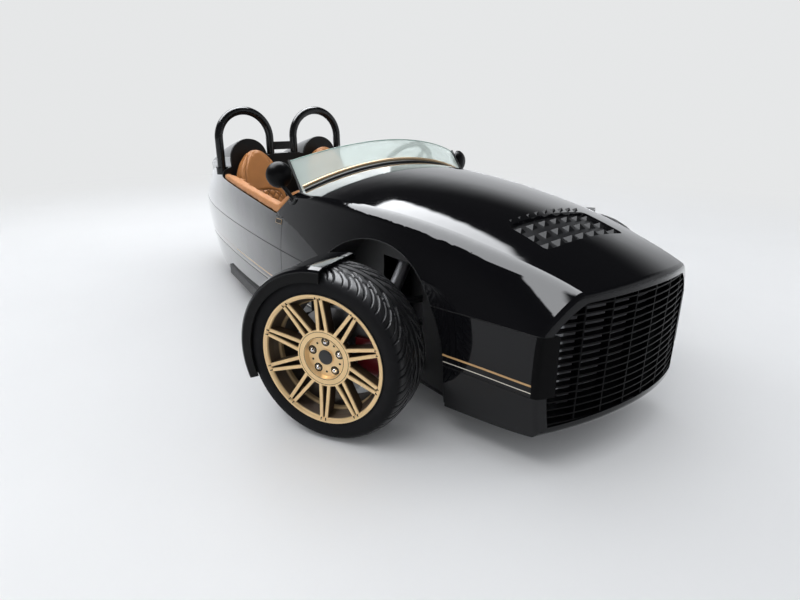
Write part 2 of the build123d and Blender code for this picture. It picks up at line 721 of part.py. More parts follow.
# Roll hoops and the bar between them
hoop_y = behind(HOOP_PLACE)
hoop_centre_z = HOOP_TOP - HOOP_TUBE_R - HOOP_R
with BuildPart() as hoop:
    outer_x, inner_x = -HOOP_X - HOOP_R, -HOOP_X + HOOP_R
    with BuildLine() as hoop_path:
        leg = Line((outer_x, hoop_y, HOOP_FOOT_Z), (outer_x, hoop_y, hoop_centre_z))
        crown = ThreePointArc(leg @ 1, (-HOOP_X, hoop_y, hoop_centre_z + HOOP_R), (inner_x, hoop_y, hoop_centre_z))
        Line(crown @ 1, (inner_x, hoop_y, HOOP_FOOT_Z))
    with BuildSketch(Plane.XY.offset(HOOP_FOOT_Z)):
        with Locations((outer_x, hoop_y)):
            Circle(HOOP_TUBE_R)
    sweep(path=hoop_path.wires()[0])
    for x in (outer_x, inner_x):
        foot_z = 778 if x == outer_x else 848
        add(rod((x, HOOP_PLACE, HOOP_FOOT_Z), (x, HOOP_PLACE, foot_z), HOOP_TUBE_R + 9))
with BuildPart() as hoops:
    add(hoop.part)
    add(mirrored(hoop.part))
    add(block(inner_x, -inner_x, HOOP_PLACE - 14, HOOP_PLACE + 14, 872, 922))
    add(hull(0), mode=Mode.SUBTRACT)
    add(block(-WIDE, WIDE, 0, FAR, 0, 735), mode=Mode.SUBTRACT)
keep(hoops, "roll_hoops")

# Chassis frame: two rails, cross members, suspension towers, radiator and engine brackets and the
# rear fork plates
with BuildPart() as chassis:
    for side in (1, -1):
        x = BEAM_X * side
        add(block(x - BEAM / 2, x + BEAM / 2, BEAM_FRONT, BEAM_REAR, BEAM_Z, BEAM_Z + BEAM))
        for front, rear in TOWERS:
            add(block(x - TOWER_HALF, x + TOWER_HALF, front, rear, BEAM_Z, TOWER_TOP))
        add(block(x - TOWER_HALF, x + TOWER_HALF, TOWERS[0][0], TOWERS[1][1], TOWER_TOP - 50, TOWER_TOP))
        bracket = sorted((290 * side + FIT * side, 320 * side))
        add(block(bracket[0], bracket[1], TOWERS[0][0] + 5, TOWERS[0][1] - 5, 300, 360))
        lug = sorted((250 * side, 290 * side))
        add(block(lug[0], lug[1], RADIATOR_REAR + FIT, 300, 172, BEAM_Z + BEAM))
        fork = sorted((205 * side, 229 * side))
        add(block(fork[0], fork[1], 2670, 2790, 165, 330))
    for y in (300, 1200, 1900, 2650):
        add(block(-BEAM_X, BEAM_X, y - 25, y + 25, BEAM_Z, BEAM_Z + BEAM))
keep(chassis, "chassis_frame")

# Engine as one plain block
with BuildPart() as engine:
    add(block(-290, 290, 470, 920, 215, 600))
    chamfer(engine.edges().filter_by(Axis.Z), length=30)
keep(engine, "engine_block")

# Wheel arch liners: a band round each arch and an inner plate with a window for the suspension
with BuildPart() as liner:
    with BuildSketch(Plane.YZ):
        with Locations((behind(ARCH_CENTRE), ARCH_Z)):
            Circle(ARCH_R - FIT)
        with Locations((behind(ARCH_CENTRE), ARCH_Z / 2)):
            Rectangle(2 * ARCH_R - 2 * FIT, ARCH_Z)
    extrude(amount=-WIDE)
    with BuildPart(mode=Mode.PRIVATE) as hollow:
        with BuildSketch(Plane.YZ.offset(-ARCH_INSIDE)):
            with Locations((behind(ARCH_CENTRE), ARCH_Z)):
                Circle(ARCH_R - FIT - LINER_T)
            with Locations((behind(ARCH_CENTRE), ARCH_Z / 2)):
                Rectangle(2 * (ARCH_R - FIT - LINER_T), ARCH_Z)
        extrude(amount=-WIDE)
    add(hollow.part, mode=Mode.SUBTRACT)
    add(block(-ARCH_INSIDE + LINER_PLATE_T, 0, 0, FAR, 0, HIGH), mode=Mode.SUBTRACT)
    add(block(-WIDE, 0, *LINER_WINDOW), mode=Mode.SUBTRACT)
    add(block(-WIDE, 0, 0, FAR, 0, STATIONS[2].sill_z + SKIN + FIT), mode=Mode.SUBTRACT)
    add(hull(0), mode=Mode.INTERSECT)
keep_both(liner.part, "arch_liners")


def wheel_plane(sign, y, radius):
    """Plane of a steered wheel at rest: Z points outboard, Y up."""
    outboard = Vector(sign, 0, 0).rotate(Axis.Z, STEER_REST)
    centre = Vector(sign * KINGPIN_X, y, radius) + outboard * HUB_OFFSET
    return Plane(origin=centre, x_dir=Vector(0, 0, 1).cross(outboard), z_dir=outboard)


def make_rim(width, bore):
    """A wheel about Z: barrel, dished twin spokes and a hub disc with bolt pockets, which has a
    through bore if one is given."""
    half = width / 2
    drop_r = BEAD_R - 20.6
    disc_face = half - HUB_DISC_SET_BACK
    recess = disc_face - HUB_RECESS
    with BuildPart() as rim:
        with BuildSketch(Plane.XZ):
            Polygon(
                (RIM_R, half + 2), (RIM_R, half - 5), (BEAD_R, half - 9), (BEAD_R - 2, half - 36),
                (drop_r, half - 56), (drop_r, -half + 56), (BEAD_R - 2, -half + 30), (BEAD_R, -half + 9),
                (RIM_R, -half + 5), (RIM_R, -half), (RIM_R - RIM_WALL, -half), (BEAD_R - 9, -half + 30),
                (drop_r - RIM_WALL, -half + 56), (drop_r - RIM_WALL, half - 54), (BEAD_R - 12, half - 30),
                (RIM_R - 2 * RIM_WALL, half - 2), (RIM_R - RIM_WALL, half + 2), align=None,
            )
        revolve(axis=Axis.Z)
        with BuildPart(mode=Mode.PRIVATE) as spokes:
            with BuildSketch(Plane.XY.offset(-half)):
                hub, lip = HUB_DISC_R - 12, RIM_R - 15
                with PolarLocations(0, SPOKE_PAIRS, start_angle=18):
                    for side in (1, -1):
                        Polygon(
                            (hub, side * (SPOKE_GAP_HUB + SPOKE_W) / 2), (hub, side * (SPOKE_GAP_HUB - SPOKE_W) / 2),
                            (lip, side * (SPOKE_GAP_RIM - SPOKE_W) / 2), (lip, side * (SPOKE_GAP_RIM + SPOKE_W) / 2),
                            align=None,
                        )
            extrude(amount=width)
            with BuildSketch(Plane.XZ):
                Polygon(
                    (RIM_R - 16, half - 3), (165, half - 12), (80, half - HUB_DISC_SET_BACK - 2), (80, half - 66),
                    (204, half - 48), (RIM_R - 16, half - 24), align=None,
                )
            revolve(axis=Axis.Z, mode=Mode.INTERSECT)
        add(spokes.part)
        with BuildSketch(Plane.XZ):
            Polygon(
                (0, WHEEL_FACE), (72, WHEEL_FACE), (HUB_DISC_R, disc_face - 26), (HUB_DISC_R, disc_face),
                (78, disc_face), (74, recess), (0, recess), align=None,
            )
        revolve(axis=Axis.Z)
        with BuildSketch(Plane.XY.offset(recess)):
            with PolarLocations(BOLT_CIRCLE / 2, BOLT_COUNT, start_angle=90):
                Circle(BOLT_POCKET_R)
        extrude(amount=-16, mode=Mode.SUBTRACT)
        with BuildSketch(Plane.XY.offset(recess)):
            Circle(CAP_R)
        extrude(amount=4)
        if bore:
            with BuildSketch(Plane.XY):
                Circle(bore)
            extrude(amount=half, both=True, mode=Mode.SUBTRACT)
    return rim.part


def make_tyre(radius, width, rim_width):
    """A tyre about Z, closed between its beads: tread, shoulders, side walls and beads."""
    half = width / 2
    bead = rim_width / 2 - 9.5
    with BuildPart() as tyre:
        with BuildSketch(Plane.XZ):
            Polygon(
                (radius, half - 62), (radius - 12, half - 25), (radius - 38, half - 2), (RIM_R + 3, bead),
                (BEAD_R + FIT, bead), (BEAD_R + FIT, -bead), (RIM_R + 3, -bead), (radius - 38, -half + 2),
                (radius - 12, -half + 25), (radius, -half + 62), align=None,
            )
        revolve(axis=Axis.Z)
    return tyre.part


def make_disc():
    """A brake disc about Z with its hat reaching the wheel's mounting face."""
    face, rear = DISC_SHIFT + DISC_T / 2, DISC_SHIFT - DISC_T / 2
    with BuildPart() as disc:
        with BuildSketch(Plane.XZ):
            Polygon(
                (SPINDLE_R + 1, WHEEL_FACE), (76, WHEEL_FACE), (82, WHEEL_FACE - 8), (82, face), (DISC_R, face),
                (DISC_R, rear), (72, rear), (72, WHEEL_FACE - 8), (SPINDLE_R + 1, WHEEL_FACE - 8), align=None,
            )
        revolve(axis=Axis.Z)
    return disc.part


def make_caliper(plane, ahead):
    """A caliper that straddles the disc on the given plane, on the side where x is ahead's sign."""
    with BuildPart() as caliper:
        with BuildSketch(plane.offset(-CALIPER_IN)):
            Circle(CALIPER_OUTER_R)
            Circle(CALIPER_INNER_R, mode=Mode.SUBTRACT)
            with Locations((ahead * 150, 0)):
                Rectangle(110, 150, mode=Mode.INTERSECT)
        extrude(amount=CALIPER_IN + CALIPER_OUT)
        with BuildSketch(plane.offset(DISC_SHIFT - DISC_T / 2 - 2)):
            Circle(DISC_R + 4)
        extrude(amount=DISC_T + 4, mode=Mode.SUBTRACT)
    return caliper.part


def make_fender():
    """The right fender about Z, for a wheel whose front is towards +X: it covers the tyre's rear and
    top, on two stays from the upright."""
    half_w = FENDER_W / 2
    rear_end = Vector(-cos(radians(FENDER_REAR)), sin(radians(FENDER_REAR)), 0)
    inner_lip, outer_lip = FENDER_EDGE_R - FENDER_LIP_INNER, FENDER_EDGE_R - FENDER_LIP_OUTER
    stay_plane = Plane.XY.offset(-half_w - FENDER_T - STAY_GAP - STAY_T)
    stay_root = Vector(-150, 72)
    with BuildPart() as fender:
        with BuildSketch(Plane(origin=(0, 0, 0), x_dir=rear_end, z_dir=rear_end.cross(Vector(0, 0, 1)))):
            Polygon(
                (inner_lip, -half_w - FENDER_T), (inner_lip, -half_w), (FENDER_EDGE_R - 4, -half_w),
                (FENDER_R, -half_w + 16), (FENDER_R, half_w - 16), (FENDER_EDGE_R - 4, half_w), (outer_lip, half_w),
                (outer_lip, half_w + FENDER_T), (FENDER_EDGE_R - 3, half_w + FENDER_T),
                (FENDER_EDGE_R + 4, half_w + 1), (FENDER_R + FENDER_T, half_w - 16),
                (FENDER_R + FENDER_T, -half_w + 16), (FENDER_EDGE_R, -half_w - FENDER_T), align=None,
            )
        revolve(axis=Axis.Z, revolution_arc=FENDER_REAR - FENDER_FRONT)
        with BuildSketch(stay_plane):
            with Locations((-75, stay_root.Y)):
                Rectangle(170, STAY_W)
            for angle in STAY_ANGLES:
                reach = Vector(-cos(radians(angle)), sin(radians(angle))) * (FENDER_R - 6)
                across = (reach - stay_root).normalized().cross(Vector(0, 0, 1)) * (STAY_W / 2)
                Polygon(
                    *[(p.X, p.Y) for p in (stay_root + across, stay_root - across, reach - across, reach + across)],
                    align=None,
                )
        extrude(amount=STAY_T)
        with BuildSketch(stay_plane):
            for angle in STAY_ANGLES:
                with Locations(Vector(-cos(radians(angle)), sin(radians(angle))) * (FENDER_R - 12)):
                    Circle(STAY_W / 2)
        extrude(amount=STAY_T + STAY_GAP + FENDER_T / 2)
        with BuildSketch(stay_plane):
            with Locations((0, stay_root.Y)):
                Circle(STAY_W / 2)
        extrude(amount=half_w + FENDER_T + STAY_GAP + STAY_T - HUB_OFFSET - UPRIGHT_T / 2 - FIT)
    return fender.part


front_rim = make_rim(FRONT_RIM_W, 0)
front_tyre = make_tyre(FRONT_TYRE_R, FRONT_TYRE_W, FRONT_RIM_W)
brake_disc = make_disc()
right_fender = make_fender()
upright_bottom = LOWER_JOINT_Z + JOINT_HALF + FIT
upright_top = UPPER_JOINT_Z - JOINT_HALF - FIT

for side, sign in SIDES:
    plane = wheel_plane(sign, FRONT_AXLE_Y, FRONT_TYRE_R)
    ahead = -sign
    for name, solid in (("rim", front_rim), ("tyre", front_tyre), ("brake_disc", brake_disc)):
        with BuildPart() as piece:
            add(solid.moved(plane.location))
        keep(piece, f"{name}_front_{side}")

    # Knuckle: bearing housing, upright between the ball joints, spindle and caliper seat
    with BuildPart() as knuckle:
        with BuildSketch(plane.offset(-HUB_OFFSET - 14)):
            Circle(52)
        extrude(amount=40)
        with BuildSketch(plane.offset(-HUB_OFFSET - UPRIGHT_T / 2)):
            with Locations((0, (upright_top + upright_bottom) / 2 - FRONT_TYRE_R)):
                Rectangle(UPRIGHT_W, upright_top - upright_bottom)
        extrude(amount=UPRIGHT_T)
        with BuildSketch(plane.offset(-HUB_OFFSET + 25)):
            Circle(SPINDLE_R)
        extrude(amount=HUB_OFFSET - 25 + WHEEL_FACE - FIT)
        with BuildSketch(plane.offset(-HUB_OFFSET)):
            with Locations((ahead * 72, 0)):
                Rectangle(100, 90)
        extrude(amount=HUB_OFFSET - CALIPER_IN - FIT)
    keep(knuckle, f"knuckle_{side}")
    with BuildPart() as caliper:
        add(make_caliper(plane, ahead))
    keep(caliper, f"caliper_{side}")

    with BuildPart() as fender:
        add((right_fender if sign < 0 else mirrored(right_fender)).moved(plane.location))
    keep(fender, f"fender_{side}")

# Rear wheel
rear_plane = Plane(origin=(0, REAR_AXLE_Y, REAR_TYRE_R), x_dir=(0, -1, 0), z_dir=(-1, 0, 0))
rear_rim = make_rim(REAR_RIM_W, REAR_AXLE_R + FIT)
rear_tyre = make_tyre(REAR_TYRE_R, REAR_TYRE_W, REAR_RIM_W)
for name, solid in (("rim", rear_rim), ("tyre", rear_tyre), ("brake_disc", brake_disc)):
    with BuildPart() as piece:
        add(solid.moved(rear_plane.location))
    keep(piece, f"{name}_rear")

# Swingarm with the rear axle
ARM_X = 178.0
ARM_TUBE_R = 24.0
PIVOT = (2760.0, 300.0)
SHOCK_FOOT = 2850.0
arm_slope = (REAR_TYRE_R - PIVOT[1]) / (REAR_AXLE - PIVOT[0])
shock_foot_z = PIVOT[1] + arm_slope * (SHOCK_FOOT - PIVOT[0])
with BuildPart() as swingarm:
    for x in (-ARM_X, ARM_X):
        add(rod((x, PIVOT[0], PIVOT[1]), (x, REAR_AXLE + 20, REAR_TYRE_R + 20 * arm_slope), ARM_TUBE_R))
    add(rod((-205 + FIT, *PIVOT), (205 - FIT, *PIVOT), 26))
    add(rod((-ARM_X, SHOCK_FOOT, shock_foot_z), (ARM_X, SHOCK_FOOT, shock_foot_z), 18))
    add(rod((-ARM_X, REAR_AXLE, REAR_TYRE_R), (ARM_X, REAR_AXLE, REAR_TYRE_R), REAR_AXLE_R))
keep(swingarm, "swingarm")
EYE_R = 14.0
with BuildPart() as rear_shock:
    low = (0, SHOCK_FOOT, shock_foot_z + 18 + EYE_R + FIT)
    high = (0, COCKPIT_END + EYE_R + FIT, 600)
    add(rod(low, high, 10))
    add(rod(between(low, high, 0.2), between(low, high, 0.85), 28))
    for point in (low, high):
        add(rod((-20, point[1], point[2]), (20, point[1], point[2]), EYE_R))
keep(rear_shock, "rear_shock")
with BuildPart() as rear_caliper:
    add(make_caliper(rear_plane, 1))
    bracket_y = REAR_AXLE - 140
    add(block(CALIPER_IN - 2, ARM_X - ARM_TUBE_R + 1, bracket_y - 14, bracket_y + 14, REAR_TYRE_R - 20, REAR_TYRE_R + 16))
    add(rod((ARM_X, *PIVOT), (ARM_X, REAR_AXLE, REAR_TYRE_R), ARM_TUBE_R + FIT), mode=Mode.SUBTRACT)
keep(rear_caliper, "caliper_rear")

# Rear wheel guard on two stays
guard_r = REAR_TYRE_R + GUARD_GAP
with BuildPart() as rear_guard:
    with BuildSketch(Plane.YZ):
        with Locations((REAR_AXLE_Y, REAR_TYRE_R)):
            Circle(guard_r + GUARD_T)
            Circle(guard_r, mode=Mode.SUBTRACT)
        with Locations((REAR_AXLE_Y, REAR_TYRE_R + 300)):
            Rectangle(900, 460, mode=Mode.INTERSECT)
    extrude(amount=REAR_TYRE_W / 2 + 8, both=True)
    stay_z = REAR_TYRE_R + 230
    stay_y = REAR_AXLE - sqrt((guard_r + GUARD_T / 2) ** 2 - 230**2)
    for side in (1, -1):
        add(rod((side * 140, stay_y, stay_z), (side * 500, stay_y, stay_z), 8))
    add(hull(SKIN + FIT), mode=Mode.INTERSECT)
keep(rear_guard, "rear_guard")

# Front suspension arms, coil-overs and drive shafts: the right side and its mirror image
axle = FRONT_OVERHANG
upper_bush_x = -BEAM_X - TOWER_HALF - FIT - BUSH_R
lower_bush_x = -BEAM_X - BEAM / 2 - FIT - BUSH_R
with BuildPart() as arms:
    for z, bush_x, spread in (
        (UPPER_JOINT_Z, upper_bush_x, UPPER_SPREAD), (LOWER_JOINT_Z, lower_bush_x, LOWER_SPREAD),
    ):
        for y in (-spread, spread):
            add(rod((-KINGPIN_X, axle, z), (bush_x, axle + y, z), ARM_R))
            add(rod((bush_x, axle + y - BUSH_HALF, z), (bush_x, axle + y + BUSH_HALF, z), BUSH_R))
        add(rod((-KINGPIN_X, axle, z - JOINT_HALF), (-KINGPIN_X, axle, z + JOINT_HALF), 22))
keep_both(arms.part, "wishbones")
with BuildPart() as coilover:
    low = (-590, axle + COILOVER_BACK, LOWER_JOINT_Z + ARM_R + EYE_R + FIT)
    high = (-BEAM_X - TOWER_HALF - FIT - EYE_R, axle + COILOVER_BACK, 612)
    add(rod(low, high, 12))
    add(rod(between(low, high, 0.42), between(low, high, 0.9), 26))
    for point in (low, high):
        add(rod((point[0], point[1] - 15, point[2]), (point[0], point[1] + 15, point[2]), EYE_R))
keep_both(coilover.part, "coilovers")
with BuildPart() as drive_shaft:
    shaft_end = -KINGPIN_X + 64.3
    add(rod((-290 - FIT, axle, FRONT_TYRE_R), (shaft_end, axle, FRONT_TYRE_R), 14))
    add(rod((shaft_end + 56, axle, FRONT_TYRE_R), (shaft_end, axle, FRONT_TYRE_R), 34))
keep_both(drive_shaft.part, "drive_shafts")

# Side blades along the sills
BLADE_STAND_OFF = 22.0
BLADE_BOTTOM = 118.0
BLADE_TOP = 178.0
with BuildPart() as blade:
    with BuildSketch(Plane.XY.offset(BLADE_BOTTOM)):
        outer = [(-s.sill - BLADE_STAND_OFF, s.behind_nose) for s in STATIONS[4:6]]
        Polygon(
            (-593, behind(1290)), *[(x, behind(y)) for x, y in outer], (-479, behind(2560)),
            (-420, behind(2560)), (-500, behind(1290)), align=None,
        )
    extrude(amount=BLADE_TOP - BLADE_BOTTOM)
    add(hull(0), mode=Mode.SUBTRACT)
keep_both(blade.part, "side_blades")

# Tail lamps
LAMP_R = 38.0
TAIL_LAMP_X = 150.0
turn = asin(TAIL_LAMP_X / TAIL_PLAN_R)
with BuildPart() as tail_lamp:
    lamp_y = TAIL_Y - TAIL_PLAN_R * (1 - cos(turn))
    with BuildSketch(Plane(origin=(-TAIL_LAMP_X, lamp_y, 545), z_dir=(-sin(turn), cos(turn), 0))):
        Circle(LAMP_R)
    extrude(amount=7, both=True)
    add(hull(0), mode=Mode.SUBTRACT)
keep_both(tail_lamp.part, "tail_lamps")
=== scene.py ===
"""Looks of an open two-seat three-wheeled car, built around its fixed frame.

Metres, in the frame's own axes: +Z up, -Y ahead and +X to the car's left. Each piece or group of
like pieces has an operator; main() calls them in order.
"""
import json
import math

import bmesh
import bpy
import numpy as np
from bpy.props import FloatProperty, FloatVectorProperty, PointerProperty
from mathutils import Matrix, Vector
from mathutils.bvhtree import BVHTree


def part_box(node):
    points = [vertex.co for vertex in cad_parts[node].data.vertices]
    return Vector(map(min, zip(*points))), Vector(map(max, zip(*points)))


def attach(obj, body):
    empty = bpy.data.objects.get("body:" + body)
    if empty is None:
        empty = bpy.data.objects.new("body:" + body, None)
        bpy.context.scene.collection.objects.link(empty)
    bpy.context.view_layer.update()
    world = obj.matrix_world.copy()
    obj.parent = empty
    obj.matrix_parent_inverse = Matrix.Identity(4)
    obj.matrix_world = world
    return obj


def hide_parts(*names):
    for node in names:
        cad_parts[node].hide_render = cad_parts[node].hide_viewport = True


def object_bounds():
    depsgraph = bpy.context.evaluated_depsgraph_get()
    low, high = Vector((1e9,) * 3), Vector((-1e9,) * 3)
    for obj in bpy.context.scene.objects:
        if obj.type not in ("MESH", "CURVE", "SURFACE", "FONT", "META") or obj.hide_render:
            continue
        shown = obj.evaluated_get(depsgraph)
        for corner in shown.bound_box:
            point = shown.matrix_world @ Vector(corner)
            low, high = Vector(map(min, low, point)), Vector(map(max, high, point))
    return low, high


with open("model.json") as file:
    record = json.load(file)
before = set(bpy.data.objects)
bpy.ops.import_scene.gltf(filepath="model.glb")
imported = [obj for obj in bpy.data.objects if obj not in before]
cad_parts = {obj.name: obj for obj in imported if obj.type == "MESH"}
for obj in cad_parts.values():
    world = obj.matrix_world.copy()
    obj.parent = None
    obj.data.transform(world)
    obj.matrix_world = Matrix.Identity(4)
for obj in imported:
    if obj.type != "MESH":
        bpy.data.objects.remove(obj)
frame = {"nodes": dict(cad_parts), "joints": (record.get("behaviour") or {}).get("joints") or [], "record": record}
CAD_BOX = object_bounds()
NODES = frame["nodes"]
JOINTS = {joint["name"]: joint for joint in frame["joints"]}

bl_info = {
    "name": "Three-wheeled open car",
    "version": (1, 0, 0),
    "blender": (4, 5, 0),
    "location": "3D View > Sidebar > Car",
    "description": "Builds the looks of an open two-seat three-wheeled car around its frame",
    "category": "Object",
}

SIDES = ("left", "right")
SIGNS = (-1, 1)
NOSE_Y = float(CAD_BOX[0].y)
MERGE = 1e-5

# Lines painted on the body: middle, half width and soft edge
BRONZE_STRIPE = (0.331, 0.0032, 0.0008)
PALE_STRIPE = (0.306, 0.0013, 0.0006)
SILL_GROOVE = (0.296, 0.002, 0.001)
WAIST_SEAM = (0.495, 0.0016, 0.001)
CHIN_SEAM = (0.290, 0.0014, 0.001)
DOOR_SEAM = (NOSE_Y + 1.520, 0.0018, 0.001)
# Where those lines start and stop
FLANK_X = (0.2, 0.24)
WAIST_SEAM_X = 0.1
DOOR_SEAM_TOP = 0.66
ARCH_Y = (NOSE_Y + 0.64, NOSE_Y + 1.02)
CHIN_SEAM_END = NOSE_Y + 0.72
TAIL_Y = NOSE_Y + 3.1

# Each tyre's radius and width, and the width of its rim; then its section from the bead up, with
# the powers of its rounded box
FRONT_TYRE = (0.3185, 0.228, 0.218)
REAR_TYRE = (0.3285, 0.285, 0.274)
TYRES = {"front_left": FRONT_TYRE, "front_right": FRONT_TYRE, "rear": REAR_TYRE}
TYRE_TURNS = 960
BEAD_R = 0.2289
BEAD_INSET = 0.0095
WIDEST_SHARE = 0.48
SQUARE, ROUND = 3.4, 2.2

# The tread: places as shares of the tyre's half width, cuts as half widths of floor and mouth
TREAD_DEPTH = 0.007
PITCHES = 32
SWEEP, SWEEP_POWER = 2.6, 1.8
RIB_GROOVE, RIB_CUT = 0.12, (0.018, 0.030)
SWEPT_START, SWEPT_CUT = (0.16, 0.2), (0.030, 0.046)
SIPE_START, SIPE_CUT = (0.36, 0.4), (0.010, 0.028)
RING_GROOVE, RING_CUT = 0.43, (0.006, 0.020)
SHALLOW = 0.7
TREAD_END = (0.86, 0.95)
# Where the tread's crown shines: share of the half width, and depth under the crown
SHINE_END = (0.84, 0.92)
SHINE_DEPTH = (0.0008, 0.003)

# The wheel's rings, and its fittings with heights counted from the hub's recess
HUB_BACK_FROM_FACE = 0.020
RECESS = 0.018
HUB_R = 0.105
RIM_LIP_R = 0.2385
HUB_RINGS = (0.0795, 0.0985)
NUTS = 5
NUT_CIRCLE = 0.057
NUT_R, NUT_TURN = 0.0102, 0.3
NUT_FOOT, NUT_TOP = -0.0155, 0.001
NUT_DOME = ((0, 0.001), (0.0088, 0.001), (0.0082, 0.005), (0.0055, 0.0085), (0, 0.0098))
WELL_R, WELL_FOOT, WELL_TOP = 0.0126, -0.0158, -0.0150
COLLAR_R, PIN_R = 0.0164, 0.0042
CAP = ((0, 0.003), (0.0275, 0.003), (0.0275, 0.0055), (0.0262, 0.0068), (0.018, 0.0078), (0, 0.0084))
SPOKE_PAIRS = 10
SLOT_R = (0.2228, 0.2318)
SLOT_ASIDE, SLOT_HALF = 0.0095, 0.0011
SLOT_SINK, SLOT_OUT = 0.004, 0.0024
RING_HALF = 0.0008
BEAD_LINE_R = (RIM_LIP_R + 0.0006, RIM_LIP_R + 0.0030)
BEAD_LINE_SINK = 0.012
# How far a mark starts under the face, and stands above it
SINK, SKIN = 0.001, 0.0004

# Where the gold turns dark, painted shade with brake dust: depth under the face, radius, and the step inside the
# barrel where that painted shade is lifted
SHADE_AND_DUST_DEPTH = (0.0015, 0.009)
SHADE_AND_DUST_R = (0.088, 0.096)
BARREL_STEP = (0.052, 0.007, 0.006)
BARREL_R = (0.19, 0.2)
# Radius on the fender inside which its edge is painted matt near-black as shade over the tyre
FENDER_SHADE_R = 0.318

# The windscreen: a pane bent round an upright axis and raked back
GLASS_FOOT = 1.187
GLASS_FOOT_Z = 0.700
GLASS_R = 0.800
GLASS_RAKE = 0.848
GLASS_HALF_W = 0.494
GLASS_TOP_Z = 0.986
GLASS_SIDE_Z = 0.903
# Its round trims: how far each lies from the line where pane and hood meet, and its radius
STRIP_HALF_W = 0.487
SEAL_OFF, SEAL_R = (0, -0.006, 0.0), 0.0055
STRIP_OFF, STRIP_R = (0, 0.012, 0.012), 0.0075
EDGE_R = 0.0034
HOOK_R, HOOK_BACK, HOOK_DOWN = 0.0055, 0.035, 0.03

# Where a ray that looks for the body's surface starts, and what is taken if it misses
RAY_Z, MISSED_Z = 1.3, 0.75
RAY_X, MISSED_X = 1.2, 0.52

# The blank badge on the flank: its place, half sizes of its plate and of its rim's middle line,
# the bar above it, and how far each stands out
BADGE_Y, BADGE_Z = DOOR_SEAM[0] + 0.035, 0.628
PLATE_X, PLATE_Y, PLATE_OUT = 0.028, 0.009, 0.0012
RIM_X, RIM_Y, RIM_HALF, RIM_OUT = 0.029, 0.0098, 0.001, 0.0020
BAR, BAR_OUT = (-0.034, 0.030, 0.020, 0.024), 0.0026
BADGE_SINK = -0.003
# The bolts at the hoops' feet
HOOP_FEET = ((-0.423, 0.778), (-0.085, 0.848), (0.085, 0.848), (0.423, 0.778))
HOOP_Y = NOSE_Y + 2.685
BOLT_TURNS = (0.8, 2.35, 3.9, 5.5)
BOLT_CIRCLE, BOLT_R, BOLT_TALL = 0.036, 0.0055, 0.006

# The row of spikes behind the hood vent
SPIKES = 9
SPIKE_X, SPIKE_PITCH = -0.175, 0.045
SPIKE_Y = NOSE_Y + 0.446
SPIKE_SIZE, SPIKE_GROWTH = 0.005, (-0.15, 0.05)
SPIKE_SINK = -0.002

# Seats: middle, lean, and half width of the back at shares of its height; then how far each pad is
# drawn in before it is blown up, how far a point may move, and what holds it
SEAT_X = 0.245
BACK_LEAN = math.radians(21)
BACK_OUTLINE = ((0.0, 0.55, 0.78, 0.93, 0.97, 1.0), (0.170, 0.145, 0.125, 0.085, 0.06, 0.03))
SEAT_VOXEL, RAIL_VOXEL = 0.009, 0.0065
CUSHION_SHRINK, CUSHION_REACH, CUSHION_PINNED = 0.005, 0.006, 0.012
BACK_SHRINK, BACK_REACH, BACK_PINNED = 0.006, 0.007, 0.7
RAIL_SHRINK, RAIL_ROUNDS = 0.001, 12
PRESSURE = 4.0
CLOTH_STEPS = 20
# Quilting: a diamond's width, slope and crown; half width and depth of lines, border and edge seam;
# half sizes of the quilted zones, and how far up the back's one and in the edge seam lie
DIAMOND, DIAMOND_SLOPE, CROWN = 0.044, 0.8, 0.005
SEWN_LINE, SEWN_BORDER, SEWN_EDGE = (0.0045, 0.003), (0.005, 0.006), (0.005, 0.005)
CUSHION_ZONE, BACK_ZONE = (0.150, 0.205), (0.125, 0.160)
BACK_ZONE_UP, EDGE_SEAM_IN = 0.165, 0.030

# The room that light and gloss see: colours, strengths, and the panel by x / z and y / z
BACKDROP = (0.79, 0.80, 0.805)
COOL_WHITE = (0.95, 0.97, 1.0)
SOFT_LIGHT, WALL_LIGHT, CEILING_LIGHT, PANEL_LIGHT = 0.78, 0.62, 0.03, 13.0
WALL_TOP = (0.30, 0.56)
PANEL_X = (-0.2, 0.76, 0.05)
PANEL_Y = (0.55, 0.6, 0.05)
RAY_KINDS = ("Is Camera Ray", "Is Glossy Ray", "Is Transmission Ray")
FLOOR_REACH = 30.0
FLOOR_FADE = (2.2, 7.5)
# Each lamp's name, place, aim, size and share of the key light's power
LAMPS = (
    ("key_light", (-2.6, -1.4, 3.4), (0.2, -0.6, 0.6), (3.6, 0.9), 1.0),
    ("fill_light", (3.6, -3.2, 3.2), (0.0, -0.4, 0.4), (2.4, 2.4), 0.7),
    ("back_light", (0.4, 4.2, 3.0), (0.0, 0.6, 0.5), (3.2, 1.2), 0.6),
)


class Term:
    """An output socket that takes part in plain arithmetic, adding Math nodes as it goes."""

    def __init__(self, graph, socket):
        self.graph = graph
        self.socket = socket

    def __add__(self, other):
        return self.graph.math("ADD", self, other)

    def __sub__(self, other):
        return self.graph.math("SUBTRACT", self, other)

    def __rsub__(self, other):
        return self.graph.math("SUBTRACT", other, self)

    def __mul__(self, other):
        return self.graph.math("MULTIPLY", self, other)

    def __truediv__(self, other):
        return self.graph.math("DIVIDE", self, other)

    def __rtruediv__(self, other):
        return self.graph.math("DIVIDE", other, self)

    def __lt__(self, other):
        return self.graph.math("LESS_THAN", self, other)

    def __gt__(self, other):
        return self.graph.math("GREATER_THAN", self, other)

    def __abs__(self):
        return self.graph.math("ABSOLUTE", self)

    __radd__ = __add__
    __rmul__ = __mul__


